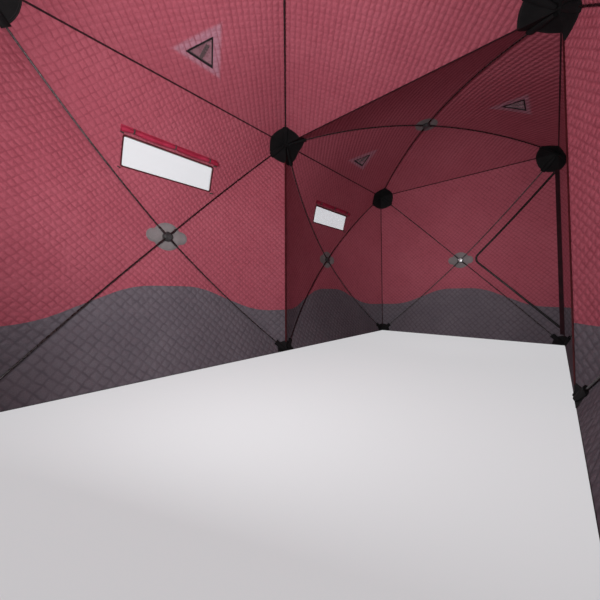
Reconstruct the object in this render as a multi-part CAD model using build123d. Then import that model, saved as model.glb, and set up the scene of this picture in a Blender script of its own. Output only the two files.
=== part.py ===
from build123d import *
import math
import os

# A double ice fishing hut: two cubes of quilted cloth side by side. Each of the eight squares
# of cloth is pushed out by an X of sprung poles that meet in a hub. All sizes are millimetres.
# X runs along the hut, from the near end to the far end, Y across it, and Z up from the walls' foot.

# The two cubes
module_length = 2200        # one square along the hut, seam to seam
hut_width = 2200            # across the hut, corner seam to corner seam
eave_height = 2190
wall_hub_height = 1075
wall_bow = 292              # how far a wall hub stands outside the corner seams
roof_rise = 272             # how far a roof hub stands above the eaves

# Cloth
cloth = 5                   # three quilted layers
patch_cloth = 2             # one more layer, sewn on inside
patch_seat = 0.2            # from the cloth to what is sewn on it
skirt_cloth = 4
skirt_width = 200
band_side_height = 430      # the grey lower cloth at the corners
band_crown_height = 665     # and under each hub
band_crown_width = 530
band_foot_width = 1630      # where its shoulders run out
band_shoulder_radius = 700  # of the rounding at the crown and at the foot

# Frame
pole_radius = 6
pole_standoff = 14          # from the cloth to the pole's middle
ferrule_radius = 9
ferrule_length = 55
ferrule_clear = 4           # from the hub's rim to the ferrule
hub_radius = 40
hub_thickness = 22
hub_slot_depth = 26
hub_slot_clearance = 0.5
pin_radius = 2.5
pin_clearance = 0.2
tongue_thickness = 8
tongue_radius = 7
pin_circle_radius = 27
hub_seat_gap = 0.45

# Corners
eave_cap_radius = 205
base_cap_radius = 110
pocket_radius = 15          # more than the poles' standoff, so it joins the corner's cloth
pocket_start = 32           # from the corner, along the pole
pocket_end = 95

# Hub patches
hub_patch_radius = 115
hub_patch_wing = 165        # half the width of the two side wings
hub_patch_wing_height = 110

# Windows, one in the top triangle of each long wall square
window_width = 710
window_height = 205
window_sill_height = 1540
pane_overlap = 15
pane_thickness = 1.2
flap_roll_radius = 20
flap_roll_length = 760
flap_roll_lift = 36         # from the window's top edge to the middle of the roll

# Roof vents, one in each roof triangle that faces a long wall
vent_side = 192             # the mesh triangle
vent_from_eave = 236
vent_binding = 14
vent_mesh_thickness = 1.2
hood_side = 390
hood_from_eave = 192
hood_lift = 45
hood_cloth = 3
strut_width = 25
strut_length = 107
strut_thickness = 3
strut_corner = 3

# Doors, one in the side triangle of each end wall
zip_offset = 115            # from the poles to the middle of the zip
zip_apex_radius = 85
zip_tape_width = 26
zip_tape_thickness = 1.6
zip_tape_end_inset = 60     # the tape stops this far from the corner seam
door_gap = 5
door_hinge_inset = 14       # from the corner seam to the hinge axis
door_gap_to_tape = 0.3

# Working sizes for cutting tools
reach = 400                 # a cutter reaches this far through the cloth
spare = 70                  # a strip is this much longer than its edge at each end

half_length = module_length
half_width = hut_width / 2


class Square:
    """One bowed square of cloth, in its own axes: u across, v up and n outwards."""

    def __init__(self, name, plane, width, height, hub_v, bow, seams):
        self.name = name
        self.plane = plane
        self.width = width
        self.height = height
        self.hub_v = hub_v
        self.bow = bow
        self.seams = seams
        half = width / 2
        corners = [(-half, 0), (half, 0), (half, height), (-half, height)]
        self.corners = [Vector(u, v, 0) for u, v in corners]
        self.hub = Vector(0, hub_v, 0)

    def edge(self, name):
        """Start and end of one edge of the square, and its distance from the hub."""
        place = ["bottom", "right", "top", "left"].index(name)
        start, end = self.corners[place], self.corners[(place + 1) % 4]
        depth = [self.hub_v, self.width / 2, self.height - self.hub_v, self.width / 2][place]
        return start, end, depth

    def bulge(self, share):
        """Height of the cloth's inner face at this share of the way from edge to hub."""
        return self.bow * (2 * share - share * share)

    def share_at(self, u, v):
        """How far a point of the square is from its nearest edge, as a share of the way."""
        if v < self.hub_v:
            upright = v / self.hub_v
        else:
            upright = (self.height - v) / (self.height - self.hub_v)
        return min(1 - abs(u) / (self.width / 2), upright)

    def inner_point(self, u, v, lift=0):
        """A point on the cloth's inner face, lifted outwards."""
        return Vector(u, v, self.bulge(self.share_at(u, v)) + lift)

    def pole_point(self, corner, along):
        """A point on the middle line of the pole from this corner, at a distance along."""
        flat = self.hub - corner
        share = along / flat.length
        place = corner + flat * share
        return Vector(place.X, place.Y, self.bulge(share) - pole_standoff)

    def placed(self, shape):
        """Moves a shape from the square's own axes to the hut's."""
        return self.plane.location * shape


def seam_start(square, seam, depth, level):
    """Distance from the edge at which a layer at this level starts, on its seam's plane."""
    if seam != "mitre":
        return seam
    curve = square.bow / depth ** 2
    slope = 2 * square.bow / depth + 1
    return (slope - math.sqrt(slope ** 2 + 4 * curve * level)) / (2 * curve)


def layer_curve(square, depth, start, level):
    """The bowed line of a layer, from its seam to the hub, as a parabola."""
    first = (start, square.bulge(start / depth) + level)
    middle = ((start + depth) / 2, square.bow + level)
    last = (depth, square.bow + level)
    return first, middle, last


def triangle_of_cloth(square, edge_name, inner, outer):
    """One triangle of a layer of the square, from an edge to the hub."""
    start, end, depth = square.edge(edge_name)
    seam = square.seams[edge_name]
    along = (end - start).normalized()
    inward = Vector(0, 0, 1).cross(along)
    origin = start - along * spare
    low = layer_curve(square, depth, seam_start(square, seam, depth, inner), inner)
    high = layer_curve(square, depth, seam_start(square, seam, depth, outer), outer)
    with BuildSketch(Plane(origin=origin, x_dir=inward, z_dir=along)) as section:
        with BuildLine():
            Bezier(*low)
            Line(low[2], high[2])
            Bezier(*high)
            Line(high[0], low[0])
        make_face()
    strip = extrude(section.sketch, amount=(end - start).length + 2 * spare, dir=along)
    grow = 1 + spare / square.hub_v / 2
    outline = [square.hub] + [square.hub + (corner - square.hub) * grow for corner in (start, end)]
    return strip & prism([(p.X, p.Y) for p in outline])


def prism(outline):
    """A cutter: this outline in u and v, right through the cloth."""
    return through(Polygon(*outline, align=None))


def through(sketch):
    """A cutter from a sketch in u and v, right through the cloth."""
    return extrude(Location((0, 0, -reach)) * sketch, amount=2.5 * reach, dir=(0, 0, 1))


def fused(shapes):
    """Shapes that touch or overlap, as one."""
    shapes = list(shapes)
    return shapes[0].fuse(*shapes[1:]) if len(shapes) > 1 else shapes[0]


def square_of_cloth(square, inner=0, outer=cloth):
    """A whole layer of the square, in its own axes: four triangles that meet under the poles."""
    triangles = [triangle_of_cloth(square, name, inner, outer) for name in ("bottom", "right", "top", "left")]
    return triangles[0].fuse(*triangles[1:], glue=True)


def wall(name, middle, outward, across, seams):
    plane = Plane(origin=middle, x_dir=across, z_dir=outward)
    width = module_length if abs(across[0]) > 0 else hut_width
    return Square(name, plane, width, eave_height, wall_hub_height, wall_bow, seams)


def roof(name, middle_x, seams):
    plane = Plane(origin=(middle_x, -half_width, eave_height), x_dir=(1, 0, 0), z_dir=(0, 0, 1))
    return Square(name, plane, module_length, hut_width, half_width, roof_rise, seams)


def seams(left, right, bottom=skirt_cloth, top="mitre"):
    """How each edge ends: on the mitre of a corner, or square at a distance from the edge."""
    return {"left": left, "right": right, "bottom": bottom, "top": top}


def all_squares():
    near_x, far_x = -module_length / 2, module_length / 2
    return {
        "left_near": wall("left_near", (near_x, half_width, 0), (0, 1, 0), (-1, 0, 0), seams(0, "mitre")),
        "left_far": wall("left_far", (far_x, half_width, 0), (0, 1, 0), (-1, 0, 0), seams("mitre", 0)),
        "right_near": wall("right_near", (near_x, -half_width, 0), (0, -1, 0), (1, 0, 0), seams("mitre", 0)),
        "right_far": wall("right_far", (far_x, -half_width, 0), (0, -1, 0), (1, 0, 0), seams(0, "mitre")),
        "end_near": wall("end_near", (-half_length, 0, 0), (-1, 0, 0), (0, -1, 0), seams("mitre", "mitre")),
        "end_far": wall("end_far", (half_length, 0, 0), (1, 0, 0), (0, 1, 0), seams("mitre", "mitre")),
        "roof_near": roof("roof_near", near_x, seams("mitre", 0, bottom="mitre")),
        "roof_far": roof("roof_far", far_x, seams(0, "mitre", bottom="mitre")),
    }


def band_prism(square):
    """A cutter for the grey lower cloth: level at the corners, with round shoulders up to a crown."""
    half = square.width / 2 + spare
    foot, crown = band_foot_width / 2, band_crown_width / 2
    shoulders = [
        (foot, band_side_height), (crown, band_crown_height),
        (-crown, band_crown_height), (-foot, band_side_height),
    ]
    points = [(-half, -spare), (half, -spare), (half, band_side_height)] + shoulders
    points.append((-half, band_side_height))
    face = make_face(Polyline(*[Vector(u, v, 0) for u, v in points], close=True))
    bends = [vertex for vertex in face.vertices() if abs(vertex.X) < half - 1]
    return through(fillet(bends, band_shoulder_radius))


def door_side(square):
    """The door is beside the right-hand corner of the hut at both ends."""
    return -1 if square.name == "end_far" else 1


def door_corners(square, shrink):
    """The door's three corners: at the foot of its hinge, beside the hub, and at the hinge's top."""
    side = door_side(square)
    hinge_u = square.width / 2 - door_hinge_inset - shrink
    offset = zip_offset + shrink
    low_slope = square.hub_v / (square.width / 2)
    high_slope = (square.height - square.hub_v) / (square.width / 2)
    low_lift = offset * math.sqrt(1 + low_slope ** 2)
    high_drop = offset * math.sqrt(1 + high_slope ** 2)
    clear = square.height - low_lift - high_drop
    apex_depth = clear / (low_slope + high_slope)
    edge_depth = square.width / 2 - hinge_u
    return [
        (side * hinge_u, low_lift + low_slope * edge_depth),
        (side * (square.width / 2 - apex_depth), low_lift + low_slope * apex_depth),
        (side * hinge_u, square.height - high_drop - high_slope * edge_depth),
    ]


def door_outline(square, shrink):
    """The door's face: a triangle beside the corner, with a round apex at the hub side."""
    points = [Vector(u, v, 0) for u, v in door_corners(square, shrink)]
    face = make_face(Polyline(*points, close=True))
    apex = face.vertices().sort_by(lambda vertex: abs(vertex.X))[0]
    return fillet(apex, zip_apex_radius)


def window_middle():
    return window_sill_height + window_height / 2


def window_cut():
    return through(Pos(0, window_middle()) * RectangleRounded(window_width, window_height, 12))


def vent_triangle(side, base_v, flip, grow=0):
    """A triangle with its base towards the eave and its apex towards the ridge."""
    tall = side * math.sqrt(3) / 2
    points = [(-side / 2, 0), (side / 2, 0), (0, tall)]
    face = make_face(Polyline(*[Vector(u, v, 0) for u, v in points], close=True))
    if grow:
        face = offset(face, amount=grow, kind=Kind.INTERSECTION)
    face = Pos(0, base_v) * face
    return mirror(Pos(0, -half_width) * face, about=Plane.XZ).moved(Pos(0, half_width)) if flip else face


def seam_ends(z):
    """The six points at this height where the walls' upright seams begin or end."""
    return [Vector(x, y, z) for x in (-half_length, 0, half_length) for y in (-half_width, half_width)]


def corner_at(square, point):
    """The square's corner at this point of the hut, or None."""
    local = square.plane.to_local_coords(point)
    found = [corner for corner in square.corners if (corner - local).length < 1]
    return found[0] if found else None


def corner_ball(square, corner, radius):
    """A round cutter about a corner, in the square's own axes, with its seam turned away from the hub."""
    away = corner - square.hub
    return Pos(*corner) * Rot(0, 0, math.degrees(math.atan2(away.Y, away.X))) * Sphere(radius)


def without_corners(square, panel, grow=0):
    """A panel of the square with its round black corners cut away."""
    for corner in square.corners:
        at_eave = square.name.startswith("roof") or corner.Y > square.hub_v
        panel -= corner_ball(square, corner, (eave_cap_radius if at_eave else base_cap_radius) + grow)
    return panel


def pole_eye(square, corner):
    """The middle of the pin that this corner's pole turns on."""
    to_hub = (square.hub - corner).normalized()
    eye = square.hub - to_hub * pin_circle_radius
    return Vector(eye.X, eye.Y, square.bow - pole_standoff)


def ferrule_ends(square, corner):
    """Where a pole's ferrule ends, beside the hub and towards the corner."""
    to_hub = (square.hub - corner).normalized()
    at_hub = pole_eye(square, corner) - to_hub * (hub_radius - pin_circle_radius + ferrule_clear)
    return at_hub, at_hub - to_hub * ferrule_length


def pole_line(square, corner):
    """The bent middle line of a pole, from its pocket's mouth to its ferrule."""
    flat = (square.hub - corner).length
    start = square.pole_point(corner, pocket_end)
    middle = square.pole_point(corner, (pocket_end + flat - hub_radius - ferrule_length) / 2)
    return ThreePointArc(start, middle, ferrule_ends(square, corner)[1])


def pole(square, corner):
    """One sprung pole, with its ferrule and the tongue that turns on the hub's pin."""
    to_hub = (square.hub - corner).normalized()
    eye = pole_eye(square, corner)
    ferrule_start, ferrule_end = ferrule_ends(square, corner)
    line = pole_line(square, corner)
    rod = sweep(Plane(origin=line.position_at(0), z_dir=line.tangent_at(0)) * Circle(pole_radius), path=line)
    ferrule = extrude(Plane(origin=ferrule_end, z_dir=to_hub) * Circle(ferrule_radius), amount=ferrule_length)
    across = Vector(0, 0, 1).cross(to_hub)
    tongue_plane = Plane(origin=eye - across * (tongue_thickness / 2), x_dir=to_hub, z_dir=across)
    shank = (ferrule_start - eye).length
    profile = Circle(tongue_radius) + Pos(-shank / 2, 0) * Rectangle(shank + 2, 2 * tongue_radius)
    profile -= Circle(pin_radius + pin_clearance)
    tongue = extrude(tongue_plane * profile, amount=tongue_thickness)
    return fused([rod, ferrule, tongue])


def hub(square):
    """The hub: a round housing with a slot and a cross pin for each pole's tongue."""
    level = square.bow - pole_standoff
    inner = level - hub_thickness / 2
    outer = square.bow - patch_seat - patch_cloth - hub_seat_gap
    body = extrude(Plane(origin=(0, square.hub_v, inner)) * Circle(hub_radius), amount=outer - inner)
    body = chamfer(body.edges().group_by(Axis.Z)[0], 4)
    slot_width = tongue_thickness + 2 * hub_slot_clearance
    pins = []
    for corner in square.corners:
        to_corner = (corner - square.hub).normalized()
        middle = square.hub + to_corner * (hub_radius - hub_slot_depth / 2 + 1)
        slot_plane = Plane(origin=(middle.X, middle.Y, inner - 1), x_dir=to_corner, z_dir=(0, 0, 1))
        slot_height = level + tongue_radius + 1 - inner + 1
        body -= extrude(slot_plane * Rectangle(hub_slot_depth + 2, slot_width), amount=slot_height)
        across = Vector(0, 0, 1).cross(to_corner)
        at = square.hub + to_corner * pin_circle_radius - across * (slot_width / 2 + 3)
        pin_plane = Plane(origin=(at.X, at.Y, level), z_dir=across)
        pins.append(extrude(pin_plane * Circle(pin_radius), amount=slot_width + 6))
    return fused([body] + pins)


def pocket(square, corner):
    """The black pocket that takes a pole's end, in the square's own axes."""
    line = pole_line(square, corner)
    mouth = Plane(origin=line.position_at(0), z_dir=-line.tangent_at(0))
    return extrude(mouth * Circle(pocket_radius), amount=pocket_end - pocket_start)


def corner_piece(squares, layers, point, radius):
    """A black corner: the cloth of every square that meets there, and their pole pockets."""
    pieces = []
    for name, square in squares.items():
        corner = corner_at(square, point)
        if corner is not None:
            pieces.append(square.placed(layers[name] & corner_ball(square, corner, radius)))
            pieces.append(square.placed(pocket(square, corner)))
    return fused(pieces)


def hub_patch(square):
    """The reinforcing patch under a hub, with two side wings on a wall."""
    outline = Circle(hub_patch_radius)
    if not square.name.startswith("roof"):
        outline += RectangleRounded(2 * hub_patch_wing, hub_patch_wing_height, hub_patch_wing_height / 2 - 1)
    layer = square_of_cloth(square, -patch_seat - patch_cloth, -patch_seat)
    return layer & through(Pos(0, square.hub_v) * outline)


def hood(square, flip):
    """A cloth hood over a vent, open towards the eave and lifted at its lower edge."""
    tall = hood_side * math.sqrt(3) / 2
    half = hood_side / 2
    sign = -1 if flip else 1

    def at(u, from_eave, lift):
        v = from_eave if not flip else square.height - from_eave
        return square.inner_point(u, v, lift)

    def tent(drop, length):
        """A solid under the hood's two sloping faces."""
        top = at(0, hood_from_eave + tall, cloth - drop)
        left = at(-half, hood_from_eave, cloth - drop)
        right = at(half, hood_from_eave, cloth - drop)
        lip = at(0, hood_from_eave, cloth + hood_lift - drop)
        down = Vector(0, -sign * length, 0)
        below = Vector(0, 0, -reach / 4)
        front = [left + down, lip + down, right + down]
        faces = []
        base = [left + down + below, right + down + below, top + below]
        corners = dict(zip(("l", "m", "r", "t", "bl", "br", "bt"), (*front, top, *base)))
        for names in (("l", "m", "t"), ("m", "r", "t"), ("l", "m", "r", "br", "bl"), ("l", "t", "bt", "bl"),
                      ("r", "t", "bt", "br"), ("bl", "br", "bt")):
            faces.append(Face(Wire.make_polygon([corners[n] for n in names], close=True)))
        return Solid(Shell(faces))

    return tent(0, 0) - tent(hood_cloth, 1) - under_roof_cloth(square, flip)


def under_roof_cloth(square, flip):
    """A cutter: everything under the outer face of the roof triangle that has the vent."""
    return triangle_of_cloth(square, "top" if flip else "bottom", -reach / 2, cloth)


def strut(square, flip):
    """The stiff prop for a hood, folded down on the mesh along the middle of the vent."""
    v = vent_from_eave + patch_seat + strut_length / 2
    batten = Pos(0, square.height - v if flip else v)
    batten *= RectangleRounded(strut_width, strut_length, strut_corner)
    inner = vent_mesh_thickness + patch_seat
    return vent_layer(square, flip, inner, inner + strut_thickness, batten)


def solids_of(shapes):
    return [solid for shape in shapes for solid in shape.solids()]


def write(name, shapes):
    """Writes one node."""
    solids = solids_of(shapes)
    export_step(Compound(children=solids) if len(solids) > 1 else solids[0], f"parts/{name}.step")


def door_prism(square, shrink):
    return through(door_outline(square, shrink))


def door_panel(square):
    """The door: the quilted triangle inside the zip, clear of the black corner."""
    side_edge = "left" if door_side(square) < 0 else "right"
    return triangle_of_cloth(square, side_edge, 0, cloth) & door_prism(square, door_gap)


def zip_tape(square):
    """The zip's tape: a band on the inside, along the two slanting sides of the door."""
    side = door_side(square)
    side_edge = "left" if side < 0 else "right"
    layer = triangle_of_cloth(square, side_edge, -door_gap_to_tape - zip_tape_thickness, -door_gap_to_tape)
    band = layer & door_prism(square, -zip_tape_width / 2)
    band -= door_prism(square, zip_tape_width / 2)
    hinge_side = side * (square.width / 2 - zip_tape_end_inset / 2)
    end = Pos(hinge_side, square.height / 2) * Rectangle(zip_tape_end_inset, 2 * square.height)
    return band - through(end)


def end_wall_parts(square):
    """How an end wall's red cloth is cut up: over, beside and under the poles' crossing."""
    side = door_side(square)
    far = square.width / 2 + spare
    grow = 1 + spare / square.hub_v / 2
    hub = (square.hub.X, square.hub.Y)
    spread = {}
    for corner in square.corners:
        place = square.hub + (corner - square.hub) * grow
        spread[(corner.X * side > 0, corner.Y > square.hub_v)] = (place.X, place.Y)
    door_middle = (side * far, square.hub_v)
    door_top, door_bottom = (side * far, square.height + spare), (side * far, -spare)
    return {
        "top": [hub, door_middle, door_top, spread[(True, True)], spread[(False, True)]],
        "side": [hub, spread[(False, True)], spread[(False, False)]],
        "bottom": [hub, spread[(False, False)], spread[(True, False)], door_bottom, door_middle],
    }


def hinge_seam_outline(square):
    """The narrow strip of wall between a door's hinge and the hut's corner."""
    side = door_side(square)
    hinge_u, top_v = door_corners(square, 0)[2]
    inner_u, outer_u = hinge_u - side, side * (square.width / 2 + spare)
    return [(inner_u, -spare), (outer_u, -spare), (outer_u, top_v), (inner_u, top_v)]


def window_pane(square):
    """The clear pane, sewn on outside over the window's edge."""
    level = cloth + patch_seat
    layer = triangle_of_cloth(square, "top", level, level + pane_thickness)
    width, height = window_width + 2 * pane_overlap, window_height + 2 * pane_overlap
    return layer & through(Pos(0, window_middle()) * RectangleRounded(width, height, 20))


def flap_roll(square):
    """The window's cloth flap, rolled up and tied over it on the inside."""
    v = window_sill_height + window_height + flap_roll_lift
    depth = square.height - square.hub_v
    slope = 2 * square.bow / depth * (1 - (square.height - v) / depth)
    lift = -(flap_roll_radius + 0.3) / math.cos(math.atan(slope))
    start = square.inner_point(-flap_roll_length / 2, v, lift)
    return extrude(Plane(origin=start, z_dir=(1, 0, 0)) * Circle(flap_roll_radius), amount=flap_roll_length)


def vent_layer(square, flip, inner, outer, outline):
    """A piece of a layer on a roof triangle that faces a long wall."""
    return triangle_of_cloth(square, "top" if flip else "bottom", inner, outer) & through(outline)


def vent_binding_ring(square, flip):
    outline = vent_triangle(vent_side, vent_from_eave, flip, vent_binding)
    outline -= vent_triangle(vent_side, vent_from_eave, flip)
    return vent_layer(square, flip, -patch_seat - patch_cloth, -patch_seat, outline)


def vent_mesh(square, flip):
    outline = vent_triangle(vent_side, vent_from_eave, flip)
    return vent_layer(square, flip, 0, vent_mesh_thickness, outline)


def skirt(along, across_sign):
    """One strip of the skirt, lying flat outwards from under the wall's hem."""
    if along == "x":
        half, middle = half_length, half_width
    else:
        half, middle = half_width, half_length
    outline = [(-half, 0), (half, 0), (half + skirt_width, skirt_width), (-half - skirt_width, skirt_width)]
    strip = extrude(Polygon(*outline, align=None), amount=skirt_cloth)
    turn = {("x", 1): 0, ("x", -1): 180, ("y", 1): -90, ("y", -1): 90}[(along, across_sign)]
    return Rot(0, 0, turn) * Pos(0, middle) * strip


def build():
    os.makedirs("parts", exist_ok=True)
    squares = all_squares()
    layers = {name: square_of_cloth(square) for name, square in squares.items()}
    walls = [name for name in squares if not name.startswith("roof")]
    roofs = [name for name in squares if name.startswith("roof")]
    ends = [name for name in squares if name.startswith("end")]
    sides = [name for name in squares if name.startswith(("left", "right"))]
    eaves, feet = seam_ends(eave_height), seam_ends(0)

    hinge_seams = []
    for name, square in squares.items():
        cloth_left = layers[name]
        if name in sides:
            cloth_left -= window_cut()
        if name in roofs:
            for flip in (False, True):
                cloth_left -= through(vent_triangle(vent_side, vent_from_eave, flip))
        if name in ends:
            cloth_left -= door_prism(square, 0)
        cloth_left = without_corners(square, cloth_left)
        if name in roofs:
            write(name, [square.placed(cloth_left)])
            continue
        band = band_prism(square)
        write("band_" + name, [square.placed(cloth_left & band)])
        red = cloth_left - band
        if name in sides:
            write("wall_" + name, [square.placed(red)])
            continue
        strip = prism(hinge_seam_outline(square))
        hinge_seams.append(square.placed(red & strip))
        for part, outline in end_wall_parts(square).items():
            write(f"wall_{name}_{part}", [square.placed((red & prism(outline)) - strip)])
    write("hinge_seams", hinge_seams)

    for name in ends:
        square = squares[name]
        panel = without_corners(square, door_panel(square), door_gap)
        band = band_prism(square)
        end = name.split("_")[1]
        write(f"door_{end}", [square.placed(panel - band)])
        write(f"door_{end}_band", [square.placed(panel & band)])
    write("zip_tapes", [squares[name].placed(zip_tape(squares[name])) for name in ends])

    write("eave_caps", [corner_piece(squares, layers, point, eave_cap_radius) for point in eaves])
    under_hem = Pos(0, 0, skirt_cloth - spare / 2) * Box(3 * module_length, 2 * hut_width, spare)
    write("base_caps", [corner_piece(squares, layers, point, base_cap_radius) - under_hem for point in feet])

    for name, square in squares.items():
        write("poles_" + name, [square.placed(pole(square, corner)) for corner in square.corners])
    write("wall_hubs", [squares[name].placed(hub(squares[name])) for name in walls])
    write("roof_hubs", [squares[name].placed(hub(squares[name])) for name in roofs])
    write("hub_patches", [square.placed(hub_patch(square)) for square in squares.values()])

    write("window_panes", [squares[name].placed(window_pane(squares[name])) for name in sides])
    write("window_flaps", [squares[name].placed(flap_roll(squares[name])) for name in sides])

    vents = [(squares[name], flip) for name in roofs for flip in (False, True)]
    write("vent_bindings", [square.placed(vent_binding_ring(square, flip)) for square, flip in vents])
    write("vent_meshes", [square.placed(vent_mesh(square, flip)) for square, flip in vents])
    write("vent_struts", [square.placed(strut(square, flip)) for square, flip in vents])
    write("vent_hoods", [square.placed(hood(square, flip)) for square, flip in vents])

    write("skirt_left", [skirt("x", 1)])
    write("skirt_right", [skirt("x", -1)])
    write("skirt_far", [skirt("y", 1)])
    write("skirt_near", [skirt("y", -1)])


if __name__ == "__main__":
    build()
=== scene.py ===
# %% [markdown]
# # A double ice fishing hut in quilted cloth
# The hut is a pop-up shelter: eight squares of three-layer quilted cloth, each pushed outwards by an
# X of sprung poles that meet in a hub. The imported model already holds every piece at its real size.
# This script dresses it: it swaps the plain cloth solids for quilted, sewn ones, gives the poles,
# hubs and zips their finishes, and sets up the light and the camera.


import math

import bpy
from mathutils import Matrix, Vector, geometry, noise


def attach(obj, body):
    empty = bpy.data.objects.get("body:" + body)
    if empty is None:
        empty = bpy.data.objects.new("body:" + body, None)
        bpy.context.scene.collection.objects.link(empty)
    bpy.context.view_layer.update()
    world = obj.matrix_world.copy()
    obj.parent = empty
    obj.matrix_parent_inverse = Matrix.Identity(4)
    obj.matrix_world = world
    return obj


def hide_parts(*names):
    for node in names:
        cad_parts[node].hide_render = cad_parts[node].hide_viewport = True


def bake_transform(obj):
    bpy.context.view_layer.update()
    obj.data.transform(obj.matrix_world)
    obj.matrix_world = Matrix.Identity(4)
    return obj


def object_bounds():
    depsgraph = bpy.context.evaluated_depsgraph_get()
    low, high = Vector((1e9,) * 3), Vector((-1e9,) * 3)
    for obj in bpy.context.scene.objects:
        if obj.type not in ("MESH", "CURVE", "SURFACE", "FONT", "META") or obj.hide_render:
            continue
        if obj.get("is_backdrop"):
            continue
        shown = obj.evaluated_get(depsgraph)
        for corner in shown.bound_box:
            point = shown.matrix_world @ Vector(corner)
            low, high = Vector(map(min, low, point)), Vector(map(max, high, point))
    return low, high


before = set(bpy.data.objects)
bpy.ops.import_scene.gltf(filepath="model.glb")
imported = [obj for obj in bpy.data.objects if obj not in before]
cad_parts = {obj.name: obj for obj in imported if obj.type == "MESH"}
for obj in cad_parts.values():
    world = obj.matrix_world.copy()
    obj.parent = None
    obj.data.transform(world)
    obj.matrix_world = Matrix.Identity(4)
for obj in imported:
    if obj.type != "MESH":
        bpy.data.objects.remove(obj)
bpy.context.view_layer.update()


# %% [markdown]
# ## The sizes that the cloth follows
# Every square of cloth has its own axes: u across, v up and n outwards. The cloth bows out along n by a
# parabola from each edge to the hub, so one small formula gives any point on it. Keeping the formula in
# one place lets every sewn-on piece, such as a patch, a tape or a window, lie exactly on the cloth.


# %% The driving sizes, in metres
MODULE = 2.2  # one square, from seam to seam
EAVE = 2.19  # the height of the walls
WALL_HUB = 1.075  # the height of a wall's hub
WALL_BOW = 0.292  # how far a wall's hub is pushed out
ROOF_RISE = 0.272  # how far a roof's hub is pushed up
CLOTH = 0.005  # the thickness of the quilted cloth
HEM = 0.004  # the walls' lower edge, above the base
HALF = MODULE / 2
print("the hut is", 2 * MODULE, "by", MODULE, "m at its seams, and its eaves are", EAVE, "m high")


# %% The form of a square
class Form:
    """The shape of one bowed square: its height, its hub's height and how far it bows out."""

    def __init__(self, height, hub, bow):
        self.height = height
        self.hub = hub
        self.bow = bow

    def share(self, u, v):
        """How far a point is from its nearest edge, as a share of the way to the hub."""
        upright = v / self.hub if v < self.hub else (self.height - v) / (self.height - self.hub)
        return min(1 - abs(u) / HALF, upright)

    def bulge(self, u, v):
        """How far the cloth's inner face stands out at a point."""
        share = self.share(u, v)
        return self.bow * (2 * share - share * share)

    def from_pole(self, u, v):
        """The distance, in the flat, from the nearest pole."""
        reach_v = self.hub if v < self.hub else self.height - self.hub
        length = math.hypot(HALF, reach_v)
        return abs(abs(u) * reach_v - abs(v - self.hub) * HALF) / length


WALL = Form(EAVE, WALL_HUB, WALL_BOW)
ROOF = Form(MODULE, HALF, ROOF_RISE)
print("halfway to its hub a wall already stands out", round(WALL.bulge(HALF / 2, WALL_HUB), 3), "m")


# %% The eight squares
def axes(origin, across, up, out):
    """The matrix that takes a square's own axes to the hut's."""
    columns = [Vector(across), Vector(up), Vector(out), Vector(origin)]
    rows = [[column[i] for column in columns] for i in range(3)]
    return Matrix(rows + [[0, 0, 0, 1]])


UP = (0, 0, 1)
SQUARES = {
    "left_near": (WALL, axes((-HALF, HALF, 0), (-1, 0, 0), UP, (0, 1, 0))),
    "left_far": (WALL, axes((HALF, HALF, 0), (-1, 0, 0), UP, (0, 1, 0))),
    "right_near": (WALL, axes((-HALF, -HALF, 0), (1, 0, 0), UP, (0, -1, 0))),
    "right_far": (WALL, axes((HALF, -HALF, 0), (1, 0, 0), UP, (0, -1, 0))),
    "end_near": (WALL, axes((-MODULE, 0, 0), (0, -1, 0), UP, (-1, 0, 0))),
    "end_far": (WALL, axes((MODULE, 0, 0), (0, 1, 0), UP, (1, 0, 0))),
    "roof_near": (ROOF, axes((-HALF, -HALF, EAVE), (1, 0, 0), (0, 1, 0), UP)),
    "roof_far": (ROOF, axes((HALF, -HALF, EAVE), (1, 0, 0), (0, 1, 0), UP)),
}
SIDES = ["left_near", "left_far", "right_near", "right_far"]
ENDS = ["end_near", "end_far"]
ROOFS = ["roof_near", "roof_far"]
print(len(SQUARES), "squares of cloth")


# %% [markdown]
# ## Small helpers
# These are the moves made again and again by hand: select one piece, go into edit mode, finish a
# modifier. An operator acts on all that is selected, so each helper clears the selection first.


# %% Selecting, applying and copying
def select_only(*pieces):
    bpy.ops.object.select_all(action="DESELECT")
    for piece in pieces:
        piece.select_set(True)
    bpy.context.view_layer.objects.active = pieces[0]


def apply_modifiers(piece):
    select_only(piece)
    for modifier in list(piece.modifiers):
        bpy.ops.object.modifier_apply(modifier=modifier.name)


def bake_place(piece):
    """Moves a piece's place, turn and scale into its mesh."""
    select_only(piece)
    bpy.ops.object.transform_apply(location=True, rotation=True, scale=True)


def newest(name):
    piece = bpy.context.object
    piece.name = name
    piece.data.name = name
    return piece


def twin(piece, name):
    """A copy of a piece, with its own mesh."""
    copy = bpy.data.objects.new(name, piece.data.copy())
    copy.data.name = name
    bpy.context.scene.collection.objects.link(copy)
    return copy


def drop(*pieces):
    for piece in pieces:
        bpy.data.objects.remove(piece)


def joined(name, pieces):
    select_only(*pieces)
    if len(pieces) > 1:
        bpy.ops.object.join()
    return newest(name)


# %% Shaping a sheet
def flat_grid(name, columns, rows, size=1, middle=(0, 0, 0), turn=0.0, scale=(1, 1, 1)):
    """A flat grid of cells round its middle, with its place in its mesh."""
    bpy.ops.object.select_all(action="DESELECT")
    bpy.ops.mesh.primitive_grid_add(
        x_subdivisions=columns, y_subdivisions=rows, size=size, calc_uvs=False,
        location=middle, rotation=(0, 0, turn))
    sheet = newest(name)
    sheet.scale = scale
    bake_place(sheet)
    return sheet


def trim(co, no, outer=False):
    """Slices the mesh in edit mode along a plane, and takes off what lies on its outer side."""
    bpy.ops.mesh.select_all(action="SELECT")
    bpy.ops.mesh.bisect(plane_co=co, plane_no=no, clear_outer=outer, use_fill=False)


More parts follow.
